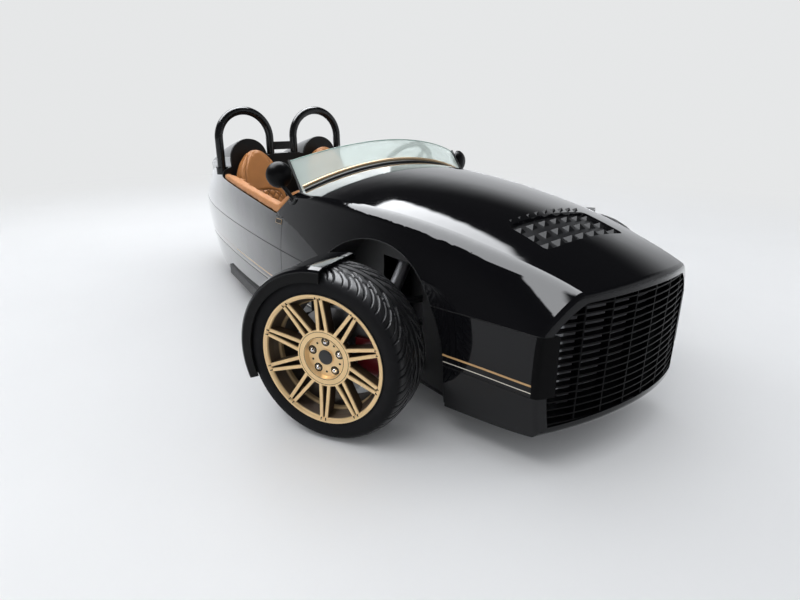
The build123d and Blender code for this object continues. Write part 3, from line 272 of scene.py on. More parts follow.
class Graph:
    """A material's node graph, or the world's if its tree is given."""

    def __init__(self, name, tree=None, kind="Material"):
        if tree is None:
            self.material = bpy.data.materials.new(name)
            self.material.use_nodes = True
            tree = self.material.node_tree
        self.tree = tree
        self.tree.nodes.clear()
        self.output = self.tree.nodes.new("ShaderNodeOutput" + kind)

    def feed(self, socket, value):
        """Links a term to a socket, or sets the socket to a plain value; a colour is opaque."""
        if isinstance(value, Term):
            self.tree.links.new(value.socket, socket)
        elif socket.type == "RGBA":
            socket.default_value = (*value, 1.0)
        else:
            socket.default_value = value

    def node(self, kind, settings=None, inputs=None, out=0):
        """Adds a node of a kind, sets its settings, then its sockets; gives its output as a term."""
        made = self.tree.nodes.new("ShaderNode" + kind)
        for name, value in (settings or {}).items():
            setattr(made, name, value)
        for name, value in (inputs or {}).items():
            self.feed(made.inputs[name], value)
        return Term(self, made.outputs[out])

    def math(self, operation, *values):
        """A Math node on one or two values."""
        return self.node("Math", {"operation": operation}, dict(enumerate(values)))

    def greatest(self, first, *others):
        """The greatest of some values."""
        for other in others:
            first = self.math("MAXIMUM", first, other)
        return first

    def mix(self, factor, low, high):
        """A colour between two colours."""
        return self.node("Mix", {"data_type": "RGBA"}, {0: factor, 6: low, 7: high}, out=2)

    def place(self):
        """The object coordinates, which are the frame's own metres."""
        return self.node("TexCoord", out=3)

    def axes(self, vector=None):
        """The three parts of a vector, by default the place."""
        split = self.node("SeparateXYZ", {}, {0: vector or self.place()})
        return [Term(self, split.socket.node.outputs[i]) for i in range(3)]

    def noise(self, scale, detail=3.0, roughness=0.55):
        """A soft noise from 0 to 1 with scale cells in a metre."""
        inputs = {"Vector": self.place(), "Scale": scale, "Detail": detail, "Roughness": roughness}
        return self.node("TexNoise", {}, inputs)

    def cells(self, scale, feature="F1"):
        """Distance in a pattern of cells with scale cells in a metre."""
        inputs = {"Vector": self.place(), "Scale": scale}
        return self.node("TexVoronoi", {"feature": feature}, inputs)

    def step(self, value, low, high):
        """Rises smoothly from 0 at low to 1 at high."""
        inputs = {"Value": value, "From Min": low, "From Max": high}
        return self.node("MapRange", {"interpolation_type": "SMOOTHSTEP"}, inputs)

    def line(self, value, centre, half, soft):
        """1 where a value is within half of centre, with soft edges."""
        return 1 - self.step(abs(value - centre), half, half + soft)

    def bump(self, height, strength, distance):
        """A normal from a height given as a share of distance."""
        return self.node("Bump", {}, {"Height": height, "Strength": strength, "Distance": distance})

    def blend_shaders(self, share, first, second):
        """A shader between two shaders."""
        return self.node("MixShader", {}, {0: share, 1: first, 2: second})

    def show(self, shader):
        """Wires a shader to the output."""
        self.feed(self.output.inputs["Surface"], shader)

    def surface(self, **sockets):
        """A Principled shader with these sockets, shown; underscores stand for spaces."""
        inputs = {name.replace("_", " "): value for name, value in sockets.items()}
        shader = self.node("BsdfPrincipled", {}, inputs)
        self.show(shader)
        return shader


class CarFinish(bpy.types.PropertyGroup):
    """Colours of the car's finishes."""

    body: FloatVectorProperty(
        name="Body paint", description="Gloss paint of the body",
        default=(0.004, 0.004, 0.0048), subtype="COLOR",
    )
    stripe: FloatVectorProperty(
        name="Upper stripe", description="Bronze stripe along the lower flank",
        default=(0.48, 0.3, 0.14), subtype="COLOR",
    )
    pale_stripe: FloatVectorProperty(
        name="Lower stripe", description="Pale stripe under the bronze one",
        default=(0.62, 0.58, 0.5), subtype="COLOR",
    )
    wheel: FloatVectorProperty(
        name="Wheel paint", description="Gold paint of the wheels",
        default=(0.78, 0.56, 0.30), subtype="COLOR",
    )
    leather: FloatVectorProperty(
        name="Leather", description="Tan leather of seats and rails",
        default=(0.47, 0.185, 0.045), subtype="COLOR",
    )
    caliper: FloatVectorProperty(
        name="Caliper paint", description="Red paint of the brake calipers",
        default=(0.13, 0.006, 0.010), subtype="COLOR",
    )
    rubber: FloatVectorProperty(
        name="Tyre rubber", description="Rubber of the tyres",
        default=(0.0045, 0.0045, 0.0052), subtype="COLOR",
    )


class CarStage(bpy.types.PropertyGroup):
    """Floor, light and camera."""

    floor: FloatVectorProperty(
        name="Floor", description="Colour of the floor", default=(0.80, 0.805, 0.81), subtype="COLOR"
    )
    focal_length: FloatProperty(
        name="Focal length", description="Camera lens", default=24.64, min=10.0, unit="CAMERA"
    )
    camera_place: FloatVectorProperty(
        name="Camera place", description="Where the camera stands", default=(-1.627, -2.695, 1.141),
        subtype="TRANSLATION", unit="LENGTH",
    )
    heading: FloatProperty(
        name="Heading", description="Camera's turn to the car's left",
        default=math.radians(-36.36), subtype="ANGLE",
    )
    dip: FloatProperty(
        name="Dip", description="Camera's look below the horizon",
        default=math.radians(19.44), subtype="ANGLE",
    )
    key_power: FloatProperty(
        name="Key light", description="Power of the long soft light overhead", default=40.0, min=0.0,
        unit="POWER",
    )


MATERIALS = {}


def material(maker, *details):
    """The material that a maker gives for these details, made on its first use."""
    key = (maker, *details)
    if key not in MATERIALS:
        MATERIALS[key] = maker(*details)
    return MATERIALS[key]


def dress(node, maker, *details):
    """Gives a frame node a finish."""
    slots = NODES[node].data.materials
    slots.clear()
    slots.append(material(maker, *details))


def finish(name):
    """A finish colour that the scene holds."""
    return tuple(getattr(bpy.context.scene.car_finish, name))


def shaded(tint, share):
    """A colour made darker or lighter by a share."""
    return tuple(min(1.0, part * share) for part in tint)


def added(name, data):
    """A new object in the scene."""
    made = bpy.data.objects.new(name, data)
    bpy.context.scene.collection.objects.link(made)
    return made


def smooth_step(value, low, high):
    """Rises smoothly from 0 at low to 1 at high: 3 share^2 - 2 share^3."""
    share = np.clip((value - low) / (high - low), 0, 1)
    return share * share * (3 - 2 * share)


def cut(off, floor, mouth):
    """1 within floor of a cut's middle line and 0 beyond its mouth."""
    return 1 - smooth_step(off, floor, mouth)


def rectangle(x_low, x_high, y_low, y_high):
    """Corners of a rectangle, anticlockwise."""
    return [(x_low, y_low), (x_high, y_low), (x_high, y_high), (x_low, y_high)]


def ring(inner, outer, low, high):
    """A closed rectangular section to be turned on the lathe."""
    corners = rectangle(inner, outer, low, high)
    return [*corners, corners[0]]


def hexagon(radius, turn=0.0):
    """Corners of a regular hexagon."""
    angle = np.arange(6) * 2 * np.pi / 6 + turn
    return [(radius * math.cos(a), radius * math.sin(a)) for a in angle]


class Pose:
    """A place with three axes."""

    def __init__(self, origin, x, z):
        self.origin = np.array(origin, dtype=float)
        z = np.array(z, dtype=float)
        z /= np.linalg.norm(z)
        x = np.array(x, dtype=float)
        x -= z * x.dot(z)
        x /= np.linalg.norm(x)
        self.axes = np.array([x, np.cross(z, x), z])

    def placed(self, points):
        """Points given along the axes, in the frame's own metres."""
        return self.origin + np.asarray(points, dtype=float) @ self.axes

    def local(self, points):
        """Points of the frame, measured along the axes."""
        return (np.asarray(points, dtype=float) - self.origin) @ self.axes.T

    def around(self, radius, turn):
        """The same axes at a place on a circle about the third one."""
        place = (radius * math.cos(turn), radius * math.sin(turn), 0)
        return Pose(self.placed(place), self.axes[0], self.axes[2])


def wheel_poses():
    """The body and the pose of each wheel, by its name's ending. The third axis points outboard."""
    poses = {}
    for name in TYRES:
        joint = JOINTS[f"spin_{name}"]
        outboard = np.array(joint["axis"]) * (1 if name == "front_left" else -1)
        pose = Pose(joint["pos_m"], np.cross((0, 0, 1), outboard), outboard)
        poses[name] = (f"wheel_{name}", pose)
    return poses


class Shape:
    """Collects grids of points and prisms into one mesh."""

    def __init__(self):
        self.points = []
        self.faces = []
        self.count = 0

    def grid(self, points, wrap_rows=False, wrap_columns=False, flip=False):
        """A grid of points, rows by columns by 3, as quads; wrapped where it closes on itself."""
        rows, columns = points.shape[:2]
        index = np.arange(rows * columns).reshape(rows, columns) + self.count
        if wrap_rows:
            index = np.vstack([index, index[:1]])
        if wrap_columns:
            index = np.hstack([index, index[:, :1]])
        corners = [index[:-1, :-1], index[:-1, 1:], index[1:, 1:], index[1:, :-1]]
        quads = np.stack(corners, axis=-1).reshape(-1, 4)
        self.points.append(points.reshape(-1, 3))
        self.faces += (quads[:, ::-1] if flip else quads).tolist()
        self.count += rows * columns

    def prism(self, outline, low, high, pose):
        """A flat outline of (x, y) points, seen anticlockwise, drawn out from low to high."""
        corners = len(outline)
        local = np.array([(x, y, h) for h in (low, high) for x, y in outline])
        first = self.count
        self.points.append(pose.placed(local))
        self.faces.append([first + corners + i for i in range(corners)])
        self.faces.append([first + corners - 1 - i for i in range(corners)])
        for i in range(corners):
            after = (i + 1) % corners
            self.faces.append([first + i, first + after, first + corners + after, first + corners + i])
        self.count += 2 * corners

    def lathe(self, profile, pose, turns):
        """Turns a profile of (radius, height) points about the pose's third axis. It runs from the
        foot up on the outside, and closes on the axis or on its own first point."""
        angle = np.linspace(0, 2 * np.pi, turns, endpoint=False)[:, None]
        radius, height = np.array(profile).T
        local = np.stack([radius * np.cos(angle), radius * np.sin(angle), height + 0 * angle], axis=-1)
        self.grid(pose.placed(local), wrap_rows=True, flip=True)

    def tube(self, path, radius, sides=10):
        """A round tube along a path: at each point a ring across the path's direction, and at each
        end a ring drawn to a point."""
        ahead = np.gradient(path, axis=0)
        ahead /= np.linalg.norm(ahead, axis=1)[:, None]
        guide = np.array([0.0, 0.0, 1.0]) if abs(ahead[:, 2]).max() < 0.9 else np.array([1.0, 0.0, 0.0])
        right = np.cross(ahead, guide)
        right /= np.linalg.norm(right, axis=1)[:, None]
        up = np.cross(right, ahead)
        angle = np.linspace(0, 2 * np.pi, sides, endpoint=False)[None, :, None]
        rings = path[:, None] + radius * (np.cos(angle) * right[:, None] + np.sin(angle) * up[:, None])
        foot, head = (np.repeat(path[i][None, None], sides, axis=1) for i in (0, -1))
        self.grid(np.concatenate([foot, rings, head]), wrap_columns=True)

    def piece(self, name, maker, slot, body="root", replaced=(), smooth=40):
        """Makes the piece's object, riding on a body."""
        mesh = bpy.data.meshes.new(name)
        mesh.from_pydata(np.concatenate(self.points).tolist(), [], self.faces)
        weld(mesh)
        return finished(mesh, name, maker, body, replaced, smooth)


def weld(mesh):
    """Merges points that lie on each other and turns the faces outwards."""
    work = bmesh.new()
    work.from_mesh(mesh)
    bmesh.ops.remove_doubles(work, verts=work.verts, dist=MERGE)
    bmesh.ops.dissolve_degenerate(work, edges=work.edges, dist=MERGE)
    bmesh.ops.recalc_face_normals(work, faces=work.faces)
    work.to_mesh(mesh)
    work.free()


def finished(mesh, name, maker, body="root", replaced=(), smooth=40):
    """Links a mesh as a piece with its finish, body and the nodes that it replaces. Edges
    sharper than smooth degrees stay sharp."""
    piece = added(name, mesh)
    mesh.materials.append(material(maker))
    mesh.shade_smooth()
    mesh.set_sharp_from_angle(angle=math.radians(smooth))
    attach(piece, body)
    if replaced:
        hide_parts(*replaced)
    return piece


def vectors_of(items, name):
    """A vector of each item as an array."""
    flat = np.empty(len(items) * 3, dtype=np.float32)
    items.foreach_get(name, flat)
    return flat.reshape(-1, 3).astype(float)


def points_of(mesh):
    """The mesh's points as an array."""
    return vectors_of(mesh.vertices, "co")


def normals_of(mesh):
    """The mesh's point normals as an array."""
    return vectors_of(mesh.vertex_normals, "vector")


def moved(mesh, points):
    """The mesh with its points put at new places."""
    mesh.vertices.foreach_set("co", points.astype(np.float32).ravel())
    mesh.update()
    return mesh


def mark(mesh, name, values):
    """Keeps a number at each point of the mesh, for its material."""
    mesh.attributes.new(name, "FLOAT", "POINT").data.foreach_set("value", values.astype(np.float32))


def tree_of(*names):
    """A search tree over frame nodes' faces, for setting a piece on their surface."""
    points, faces = [], []
    for name in names:
        mesh = NODES[name].data
        faces += [[len(points) + v for v in face.vertices] for face in mesh.polygons]
        points += [vertex.co.copy() for vertex in mesh.vertices]
    return BVHTree.FromPolygons(points, faces)


def surface_height(tree, x, y):
    """Height of the highest face under a place."""
    hit = tree.ray_cast(Vector((x, y, RAY_Z)), Vector((0, 0, -1)))[0]
    return hit.z if hit else MISSED_Z


def surface_side(tree, side, y, z):
    """Half width at a place on a flank, with a little to spare."""
    hit = tree.ray_cast(Vector((side * RAY_X, y, z)), Vector((-side, 0, 0)))[0]
    return abs(hit.x) + 0.002 if hit else MISSED_X


def plain(name, tint, rough, uneven, scale, **sockets):
    """A finish of one colour, whose roughness varies from place to place."""
    graph = Graph(name)
    graph.surface(Base_Color=tint, Roughness=rough + graph.noise(scale) * uneven, **sockets)
    return graph.material


def chrome():
    """Bright plated metal with faint smears."""
    return plain("chrome", (0.78, 0.78, 0.79), 0.08, 0.12, 90.0, Metallic=1.0)


def hub_cap():
    """Dark grey satin of the blank centre caps."""
    return plain("hub_cap", (0.028, 0.028, 0.029), 0.3, 0.15, 120.0, Metallic=0.3)


def deep_shadow():
    """Matt black in recesses and joints."""
    return plain("deep_shadow", (0.004, 0.004, 0.004), 0.75, 0.15, 200.0)


def grille_gloss():
    """Satin black of the grille's slats, dusty in places."""
    return plain("grille_gloss", (0.0012, 0.0012, 0.0015), 0.34, 0.12, 90.0, Specular_IOR_Level=0.07)


def gloss_trim():
    """Gloss black moulding."""
    return plain("gloss_trim", (0.003, 0.003, 0.0035), 0.26, 0.1, 60.0, Specular_IOR_Level=0.12)


def glass_edge():
    """The pane's ground edge, which looks deeper green."""
    return plain("glass_edge", (0.16, 0.27, 0.23), 0.25, 0.15, 60.0)


def dust_on(graph):
    """Roughness that a trace of dust adds to gloss paint."""
    return graph.step(graph.noise(260.0, 4.0), 0.55, 0.8) * 0.03


def gloss_paint():
    """Deep gloss black with seam lines between the panels, a bronze and a pale stripe low on the
    flanks, a faint waviness and a trace of dust. Seen aslant it shines more."""
    graph = Graph("gloss_paint")
    x, y, z = graph.axes()
    ahead = y < ARCH_Y[0]
    behind = (y > ARCH_Y[1]) * (y < TAIL_Y)
    on_flank = graph.math("MINIMUM", graph.step(abs(x), *FLANK_X), ahead + behind)
    bronze = graph.line(z, *BRONZE_STRIPE) * on_flank
    pale = graph.line(z, *PALE_STRIPE) * on_flank
    seams = graph.greatest(
        graph.line(z, *WAIST_SEAM) * (abs(x) > WAIST_SEAM_X),
        graph.line(y, *DOOR_SEAM) * (z < DOOR_SEAM_TOP),
        graph.line(z, *CHIN_SEAM) * (y < CHIN_SEAM_END),
        graph.line(z, *SILL_GROOVE) * behind,
    )
    tint = graph.mix(bronze, finish("body"), finish("stripe"))
    tint = graph.mix(pale, tint, finish("pale_stripe"))
    tint = graph.mix(seams, tint, (0.0008, 0.0008, 0.0008))
    aslant = graph.step(graph.node("LayerWeight", {}, {"Blend": 0.5}, out="Facing"), 0.55, 0.82)
    graph.surface(
        Base_Color=tint, Roughness=0.04 + dust_on(graph) + seams * 0.6 + bronze * 0.2, IOR=1.34,
        Coat_Weight=aslant * (1 - seams), Coat_Roughness=0.03,
        Normal=graph.bump(graph.noise(5.0, 2.0) - seams * 0.6, 0.03, 0.01),
    )
    return graph.material


def wheel_place(graph, name):
    """Distance from a wheel's axis, and the height along it from the wheel's middle plane."""
    pose = wheel_poses()[name][1]
    origin, axis = tuple(pose.origin), tuple(pose.axes[2])
    off = graph.node("VectorMath", {"operation": "SUBTRACT"}, {0: graph.place(), 1: origin})
    height = graph.node("VectorMath", {"operation": "DOT_PRODUCT"}, {0: off, 1: axis}, out="Value")
    length = graph.node("VectorMath", {"operation": "LENGTH"}, {0: off}, out="Value")
    return graph.math("SQRT", graph.greatest(length * length - height * height, 0.0)), height


def fender_paint(side):
    """The body's gloss black on the fender's crown; its inner edge is matt near-black, painted shade that stands
    for the dark gap over the tyre.
    """
    graph = Graph("fender_paint_" + side)
    radius, height = wheel_place(graph, "front_" + side)
    # Painted shade: the fender's inner edge turns matt near-black to look like the dark gap over the tyre
    edge = 1 - graph.step(radius, FENDER_SHADE_R - 0.002, FENDER_SHADE_R)
    graph.surface(
        Base_Color=graph.mix(edge, finish("body"), (0.0012, 0.0012, 0.0013)),
        Roughness=0.05 + dust_on(graph) + edge * 0.75, IOR=1.34,
        Normal=graph.bump(graph.noise(5.0, 2.0), 0.03, 0.01),
    )
    return graph.material


def gold_paint(name):
    """Satin gold wheel paint with fine metal flake. Below the plane that joins the hub's face and the
    lip it turns dark brown, painted shade with brake dust, less so at the step inside the barrel."""
    graph = Graph("gold_paint_" + name)
    flake = graph.cells(1500.0)
    cloud = graph.noise(8.0)
    half = TYRES[name][2] / 2
    radius, height = wheel_place(graph, name)
    slope = HUB_BACK_FROM_FACE / (RIM_LIP_R - HUB_R)
    face = (radius - HUB_R) * slope + (half - HUB_BACK_FROM_FACE)
    depth = graph.math("MINIMUM", face, half) - height
    # Painted shade with brake dust: the gold darkens with depth under the face plane beyond the hub, and is left
    # lighter at the step inside the barrel
    shade = graph.step(depth, *SHADE_AND_DUST_DEPTH) * graph.step(radius, *SHADE_AND_DUST_R)
    shade = shade - graph.line(depth, *BARREL_STEP) * graph.step(radius, *BARREL_R) * 0.55
    shade = shade * (0.93 + cloud * 0.1)
    base = finish("wheel")
    tint = graph.mix(graph.step(flake, 0.15, 0.5), shaded(base, 1.1), base)
    graph.surface(
        # Where the painted shade is full the colour is a dark brown
        Base_Color=graph.mix(shade, tint, (0.016, 0.007, 0.003)), Metallic=0.55 - shade * 0.4,
        Roughness=0.34 + cloud * 0.12 + shade * 0.2, Normal=graph.bump(flake, 0.06, 0.0004),
    )
    return graph.material


def tyre_rubber():
    """Black rubber, greyer where it has been scuffed, with a sheen on the tread's crown."""
    graph = Graph("tyre_rubber")
    scuff = graph.noise(26.0, 6.0, 0.7)
    base = finish("rubber")
    tread = graph.node("Attribute", {"attribute_name": "tread"}, out="Fac")
    graph.surface(
        Base_Color=graph.mix(graph.step(scuff, 0.45, 0.75), base, shaded(base, 1.7)),
        Roughness=0.6 - tread * 0.22 + scuff * 0.1, Specular_IOR_Level=0.14,
        Coat_Weight=tread * 0.6, Coat_Roughness=0.38, Coat_IOR=1.5,
        Normal=graph.bump(graph.noise(700.0, 3.0), 0.2, 0.0005),
    )
    return graph.material


def tan_leather():
    """Tan leather with pebble grain, soft creases and uneven dye; along the sewing it is darker, the stitching
    with painted shade in its grooves.
    """
    graph = Graph("tan_leather")
    pebble = graph.cells(420.0, "DISTANCE_TO_EDGE")
    crease = graph.noise(60.0, 5.0)
    base = finish("leather")
    sewn_shade = graph.node("Attribute", {"attribute_name": "sewn_shade"}, out="Fac")
    tint = graph.mix(graph.noise(14.0, 4.0), base, shaded(base, 0.72))
    height = graph.step(pebble, 0.0, 0.35) * 0.7 + crease * 0.5
    # Painted shade along the sewn grooves: the colour falls towards a fifth of the tan there
    graph.surface(
        Base_Color=graph.mix(sewn_shade * 0.8, tint, shaded(base, 0.2)), Roughness=0.42 + crease * 0.16,
        Normal=graph.bump(height, 0.35, 0.0009),
    )
    return graph.material


def carpet():
    """Short black loop carpet."""
    graph = Graph("carpet")
    tuft = graph.cells(650.0)
    shade = graph.mix(graph.step(tuft, 0.1, 0.6), (0.022, 0.022, 0.024), (0.008, 0.008, 0.009))
    graph.surface(Base_Color=shade, Roughness=0.95, Normal=graph.bump(tuft, 0.9, 0.003))
    return graph.material


def satin_trim():
    """Moulded satin black plastic with a fine grain."""
    graph = Graph("satin_trim")
    graph.surface(
        Base_Color=(0.006, 0.006, 0.0065), Roughness=0.38 + graph.noise(40.0) * 0.14,
        Specular_IOR_Level=0.35, Normal=graph.bump(graph.cells(900.0), 0.25, 0.0006),
    )
    return graph.material


def powder_coat():
    """Black powder coat with its fine orange-peel."""
    graph = Graph("powder_coat")
    graph.surface(
        Base_Color=(0.004, 0.004, 0.0045), Roughness=0.16 + graph.noise(30.0) * 0.1,
        Normal=graph.bump(graph.noise(480.0, 2.0), 0.22, 0.0006),
    )
    return graph.material


def cast_metal():
    """Dull cast light alloy with a sand-cast skin."""
    graph = Graph("cast_metal")
    skin = graph.noise(300.0, 5.0)
    graph.surface(
        Base_Color=graph.mix(graph.noise(9.0, 4.0), (0.1, 0.1, 0.105), (0.2, 0.2, 0.21)),
        Metallic=0.7, Roughness=0.5 + skin * 0.2, Normal=graph.bump(skin, 0.5, 0.001),
    )
    return graph.material


def brushed_steel():
    """Bare steel with a light brushed grain."""
    graph = Graph("brushed_steel")
    grain = graph.noise(420.0, 3.0)
    graph.surface(
        Base_Color=(0.26, 0.26, 0.27), Metallic=1.0, Roughness=0.26 + grain * 0.2,
        Normal=graph.bump(grain, 0.12, 0.0005),
    )
    return graph.material


def bronze_trim():
    """Brushed bronze edging."""
    graph = Graph("bronze_trim")
    grain = graph.noise(300.0, 3.0)
    graph.surface(
        Base_Color=(0.46, 0.33, 0.2), Metallic=0.6, Roughness=0.3 + grain * 0.2,
        Normal=graph.bump(grain, 0.1, 0.0004),
    )
    return graph.material


def caliper_paint():
    """Gloss red caliper paint over a rough casting."""
    graph = Graph("caliper_paint")
    skin = graph.noise(120.0, 4.0)
    graph.surface(
        Base_Color=finish("caliper"), Roughness=0.24 + skin * 0.12, Coat_Weight=0.5,
        Normal=graph.bump(skin, 0.2, 0.001),
    )
    return graph.material


def prisms(graph, pitch):
    """Moulded squares on a lamp: the product of two sines, of pitch radians in a metre."""
    x, _, z = graph.axes()
    return graph.math("SINE", z * pitch) * graph.math("SINE", x * pitch)


def red_lens():
    """Moulded red lamp lens with fine prisms."""
    graph = Graph("red_lens")
    graph.surface(
        Base_Color=(0.38, 0.004, 0.006), Roughness=0.08, Coat_Weight=1.0,
        Normal=graph.bump(prisms(graph, 900.0), 0.3, 0.001),
    )
    return graph.material


def lamp_lens():
    """Bright lamp glass over a bright bowl."""
    graph = Graph("lamp_lens")
    graph.surface(
        Base_Color=(0.85, 0.87, 0.9), Metallic=0.4, Roughness=0.12, Coat_Weight=1.0,
        Normal=graph.bump(prisms(graph, 700.0), 0.4, 0.001),
    )
    return graph.material


def clear_glass():
    """Clear glass with a green tint, which casts only a faint shadow."""
    graph = Graph("clear_glass")
    pane = graph.surface(
        Base_Color=(0.88, 0.95, 0.92), Roughness=graph.step(graph.noise(9.0, 4.0), 0.5, 0.9) * 0.03,
        Transmission_Weight=0.62, IOR=1.5,
    )
    through = graph.node("BsdfTransparent", {}, {0: (0.8, 0.9, 0.87)})
    shadow = graph.node("LightPath", out="Is Shadow Ray")
    graph.show(graph.blend_shaders(shadow, pane, through))
    return graph.material


BY_SLOT = {
    "body_black": gloss_paint, "trim_black": satin_trim, "grille_black": grille_gloss,
    "lamp_clear": lamp_lens, "glass_clear": clear_glass, "leather_tan": tan_leather,
    "carpet_black": carpet, "frame_black": powder_coat, "engine_grey": cast_metal,
    "tyre_rubber": tyre_rubber, "disc_steel": brushed_steel, "caliper_red": caliper_paint,
    "steel": brushed_steel, "lamp_red": red_lens,
}
BY_NODE = {
    "mirrors": (gloss_trim,),
    "hood_vent": (gloss_trim,),
    **{f"fender_{side}": (fender_paint, side) for side in SIDES},
    **{f"rim_{name}": (gold_paint, name) for name in TYRES},
}


class CAR_OT_frame_finish(bpy.types.Operator):
    """Give every frame node its own finish, or else that of its material slot"""

    bl_idname = "car.frame_finish"
    bl_label = "Frame finishes"

    def execute(self, context):
        for part in frame["record"]["subparts"]:
            node = part["node"]
            dress(node, *(BY_NODE.get(node) or (BY_SLOT[part["material_slot"]],)))
        return {"FINISHED"}


def tyre_section(radius, width, rim_width):
    """Heights above the middle plane and radii of a tyre from bead to bead: above the widest place
    a rounded box curve, (height / half)^SQUARE + (rise / whole rise)^ROUND = 1, and below it a side
    wall that draws in to the bead with the square of its share."""
    half, bead = width / 2, rim_width / 2 - BEAD_INSET
    widest = BEAD_R + WIDEST_SHARE * (radius - BEAD_R)
    rise = radius - widest
    tread = np.linspace(-0.9, 0.9, 67) * half
    tread_r = widest + rise * (1 - np.abs(tread / half) ** SQUARE) ** (1 / ROUND)
    wall_r = np.linspace(tread_r[-1], widest, 9)[1:]
    wall = half * (1 - ((wall_r - widest) / rise) ** ROUND) ** (1 / SQUARE)
    low_r = np.linspace(widest, BEAD_R, 10)[1:]
    share = (widest - low_r) / (widest - BEAD_R)
    low = half + (bead - half) * share**2
    side = np.concatenate([wall, low])
    side_r = np.concatenate([wall_r, low_r])
    height = np.concatenate([-side[::-1], tread, side])
    return height, np.concatenate([side_r[::-1], tread_r, side_r])


def tread_depth(height, along, half):
    """How deep the tread is cut: two straight grooves beside the middle rib, long grooves that
    sweep back from the middle by SWEEP * (1 - inward^SWEEP_POWER) and bend out across each
    shoulder, a short sipe between every two, and a shallow ring groove on each side."""
    out = np.abs(height) / half
    inward = 1 - np.clip(out, 0, 1)
    sweep = along * PITCHES + SWEEP * (1 - inward**SWEEP_POWER)
    slant = np.sqrt(1 + (SWEEP * SWEEP_POWER * inward ** (SWEEP_POWER - 1)) ** 2)
    straight = cut(np.abs(out - RIB_GROOVE), *RIB_CUT)
    off = np.abs(sweep % 1.0 - 0.5) / slant
    swept = cut(off, *SWEPT_CUT) * smooth_step(out, *SWEPT_START)
    other = np.abs((sweep + 0.5 + 0.1 * out) % 1.0 - 0.5) / slant
    sipe = cut(other, *SIPE_CUT) * smooth_step(out, *SIPE_START) * SHALLOW
    around = cut(np.abs(out - RING_GROOVE), *RING_CUT) * SHALLOW
    deepest = np.maximum.reduce([straight + 0 * sweep, swept, sipe, around + 0 * sweep])
    return TREAD_DEPTH * np.clip(deepest, 0, 1) * cut(out, *TREAD_END)


class CAR_OT_tyres(bpy.types.Operator):
    """Build the tyres with their swept tread"""

    bl_idname = "car.tyres"
    bl_label = "Tyres"

    def execute(self, context):
        share = (np.arange(TYRE_TURNS) / TYRE_TURNS)[:, None]
        angle = 2 * np.pi * share
        for name, (body, pose) in wheel_poses().items():
            radius, width, rim_width = TYRES[name]
            height, ring_r = tyre_section(radius, width, rim_width)
            across = ring_r[None] - tread_depth(height[None], share, width / 2)
            lifted = height[None] + 0 * angle
            local = np.stack([across * np.cos(angle), across * np.sin(angle), lifted], axis=-1)
            tyre = Shape()
            tyre.grid(pose.placed(local), wrap_rows=True, wrap_columns=True, flip=True)
            made = tyre.piece(
                f"tread_{name}", tyre_rubber, "tyre_rubber", body, (f"tyre_{name}",), smooth=50
            )
            off = pose.local(points_of(made.data))
            out = np.abs(off[:, 2]) / (width / 2)
            depth = np.interp(off[:, 2], height, ring_r) - np.hypot(off[:, 0], off[:, 1])
            mark(made.data, "tread", cut(out, *SHINE_END) * cut(depth, *SHINE_DEPTH))
        return {"FINISHED"}


def raised(profile, foot):
    """A profile with its heights counted from a foot."""
    return [(radius, foot + height) for radius, height in profile]


class CAR_OT_wheels(bpy.types.Operator):
    """Add the wheels' nuts, blank caps, hub rings and lip slots, and the line at the tyre's bead"""

    bl_idname = "car.wheels"
    bl_label = "Wheel fittings"

    def execute(self, context):
        for name, (body, pose) in wheel_poses().items():
            half = TYRES[name][2] / 2
            disc = half - HUB_BACK_FROM_FACE
            floor = disc - RECESS
            nuts, cap, marks, bead = Shape(), Shape(), Shape(), Shape()
            for i in range(NUTS):
                turn = math.radians(90 + 360 / NUTS * i)
                seat = pose.around(NUT_CIRCLE, turn)
                nuts.prism(hexagon(NUT_R, NUT_TURN * i), floor + NUT_FOOT, floor + NUT_TOP, seat)
                nuts.lathe(raised(NUT_DOME, floor), seat, 20)
                marks.lathe(rectangle(0, WELL_R, floor + WELL_FOOT, floor + WELL_TOP), seat, 24)
                marks.lathe(ring(WELL_R, COLLAR_R, floor - SINK, floor + SKIN), seat, 24)
                seat = pose.around(NUT_CIRCLE, turn + math.radians(180 / NUTS))
                marks.lathe(rectangle(0, PIN_R, floor - SINK, floor + SKIN), seat, 16)
            cap.lathe(raised(CAP, floor), pose, 56)
            for radius in HUB_RINGS:
                line = ring(radius - RING_HALF, radius + RING_HALF, disc - SKIN, disc + SKIN)
                marks.lathe(line, pose, 96)
            for pair in range(SPOKE_PAIRS):
                for side in SIGNS:
                    turn = math.radians(18 + 360 / SPOKE_PAIRS * pair) + side * SLOT_ASIDE / RIM_LIP_R
                    out = np.array([math.cos(turn), math.sin(turn)])
                    aside = np.array([-out[1], out[0]]) * SLOT_HALF
                    inner, outer = out * SLOT_R[0], out * SLOT_R[1]
                    slot = [inner - aside, outer - aside, outer + aside, inner + aside]
                    marks.prism(slot, half - SLOT_SINK, half + SLOT_OUT, pose)
            bead.lathe(ring(*BEAD_LINE_R, half - BEAD_LINE_SINK, half + SKIN), pose, 144)
            nuts.piece(f"wheel_nuts_{name}", chrome, "steel", body)
            cap.piece(f"wheel_cap_{name}", hub_cap, "trim_black", body)
            marks.piece(f"wheel_marks_{name}", deep_shadow, "trim_black", body)
            bead.piece(f"bead_line_{name}", deep_shadow, "tyre_rubber", body)
        return {"FINISHED"}


def glass_y(x, z):
    """Where the pane stands at a half width and a height: its foot's circle about an upright axis,
    moved back with the height by the rake."""
    foot = NOSE_Y + GLASS_FOOT + GLASS_R - np.sqrt(GLASS_R**2 - x**2)
    return foot + GLASS_RAKE * (z - GLASS_FOOT_Z)


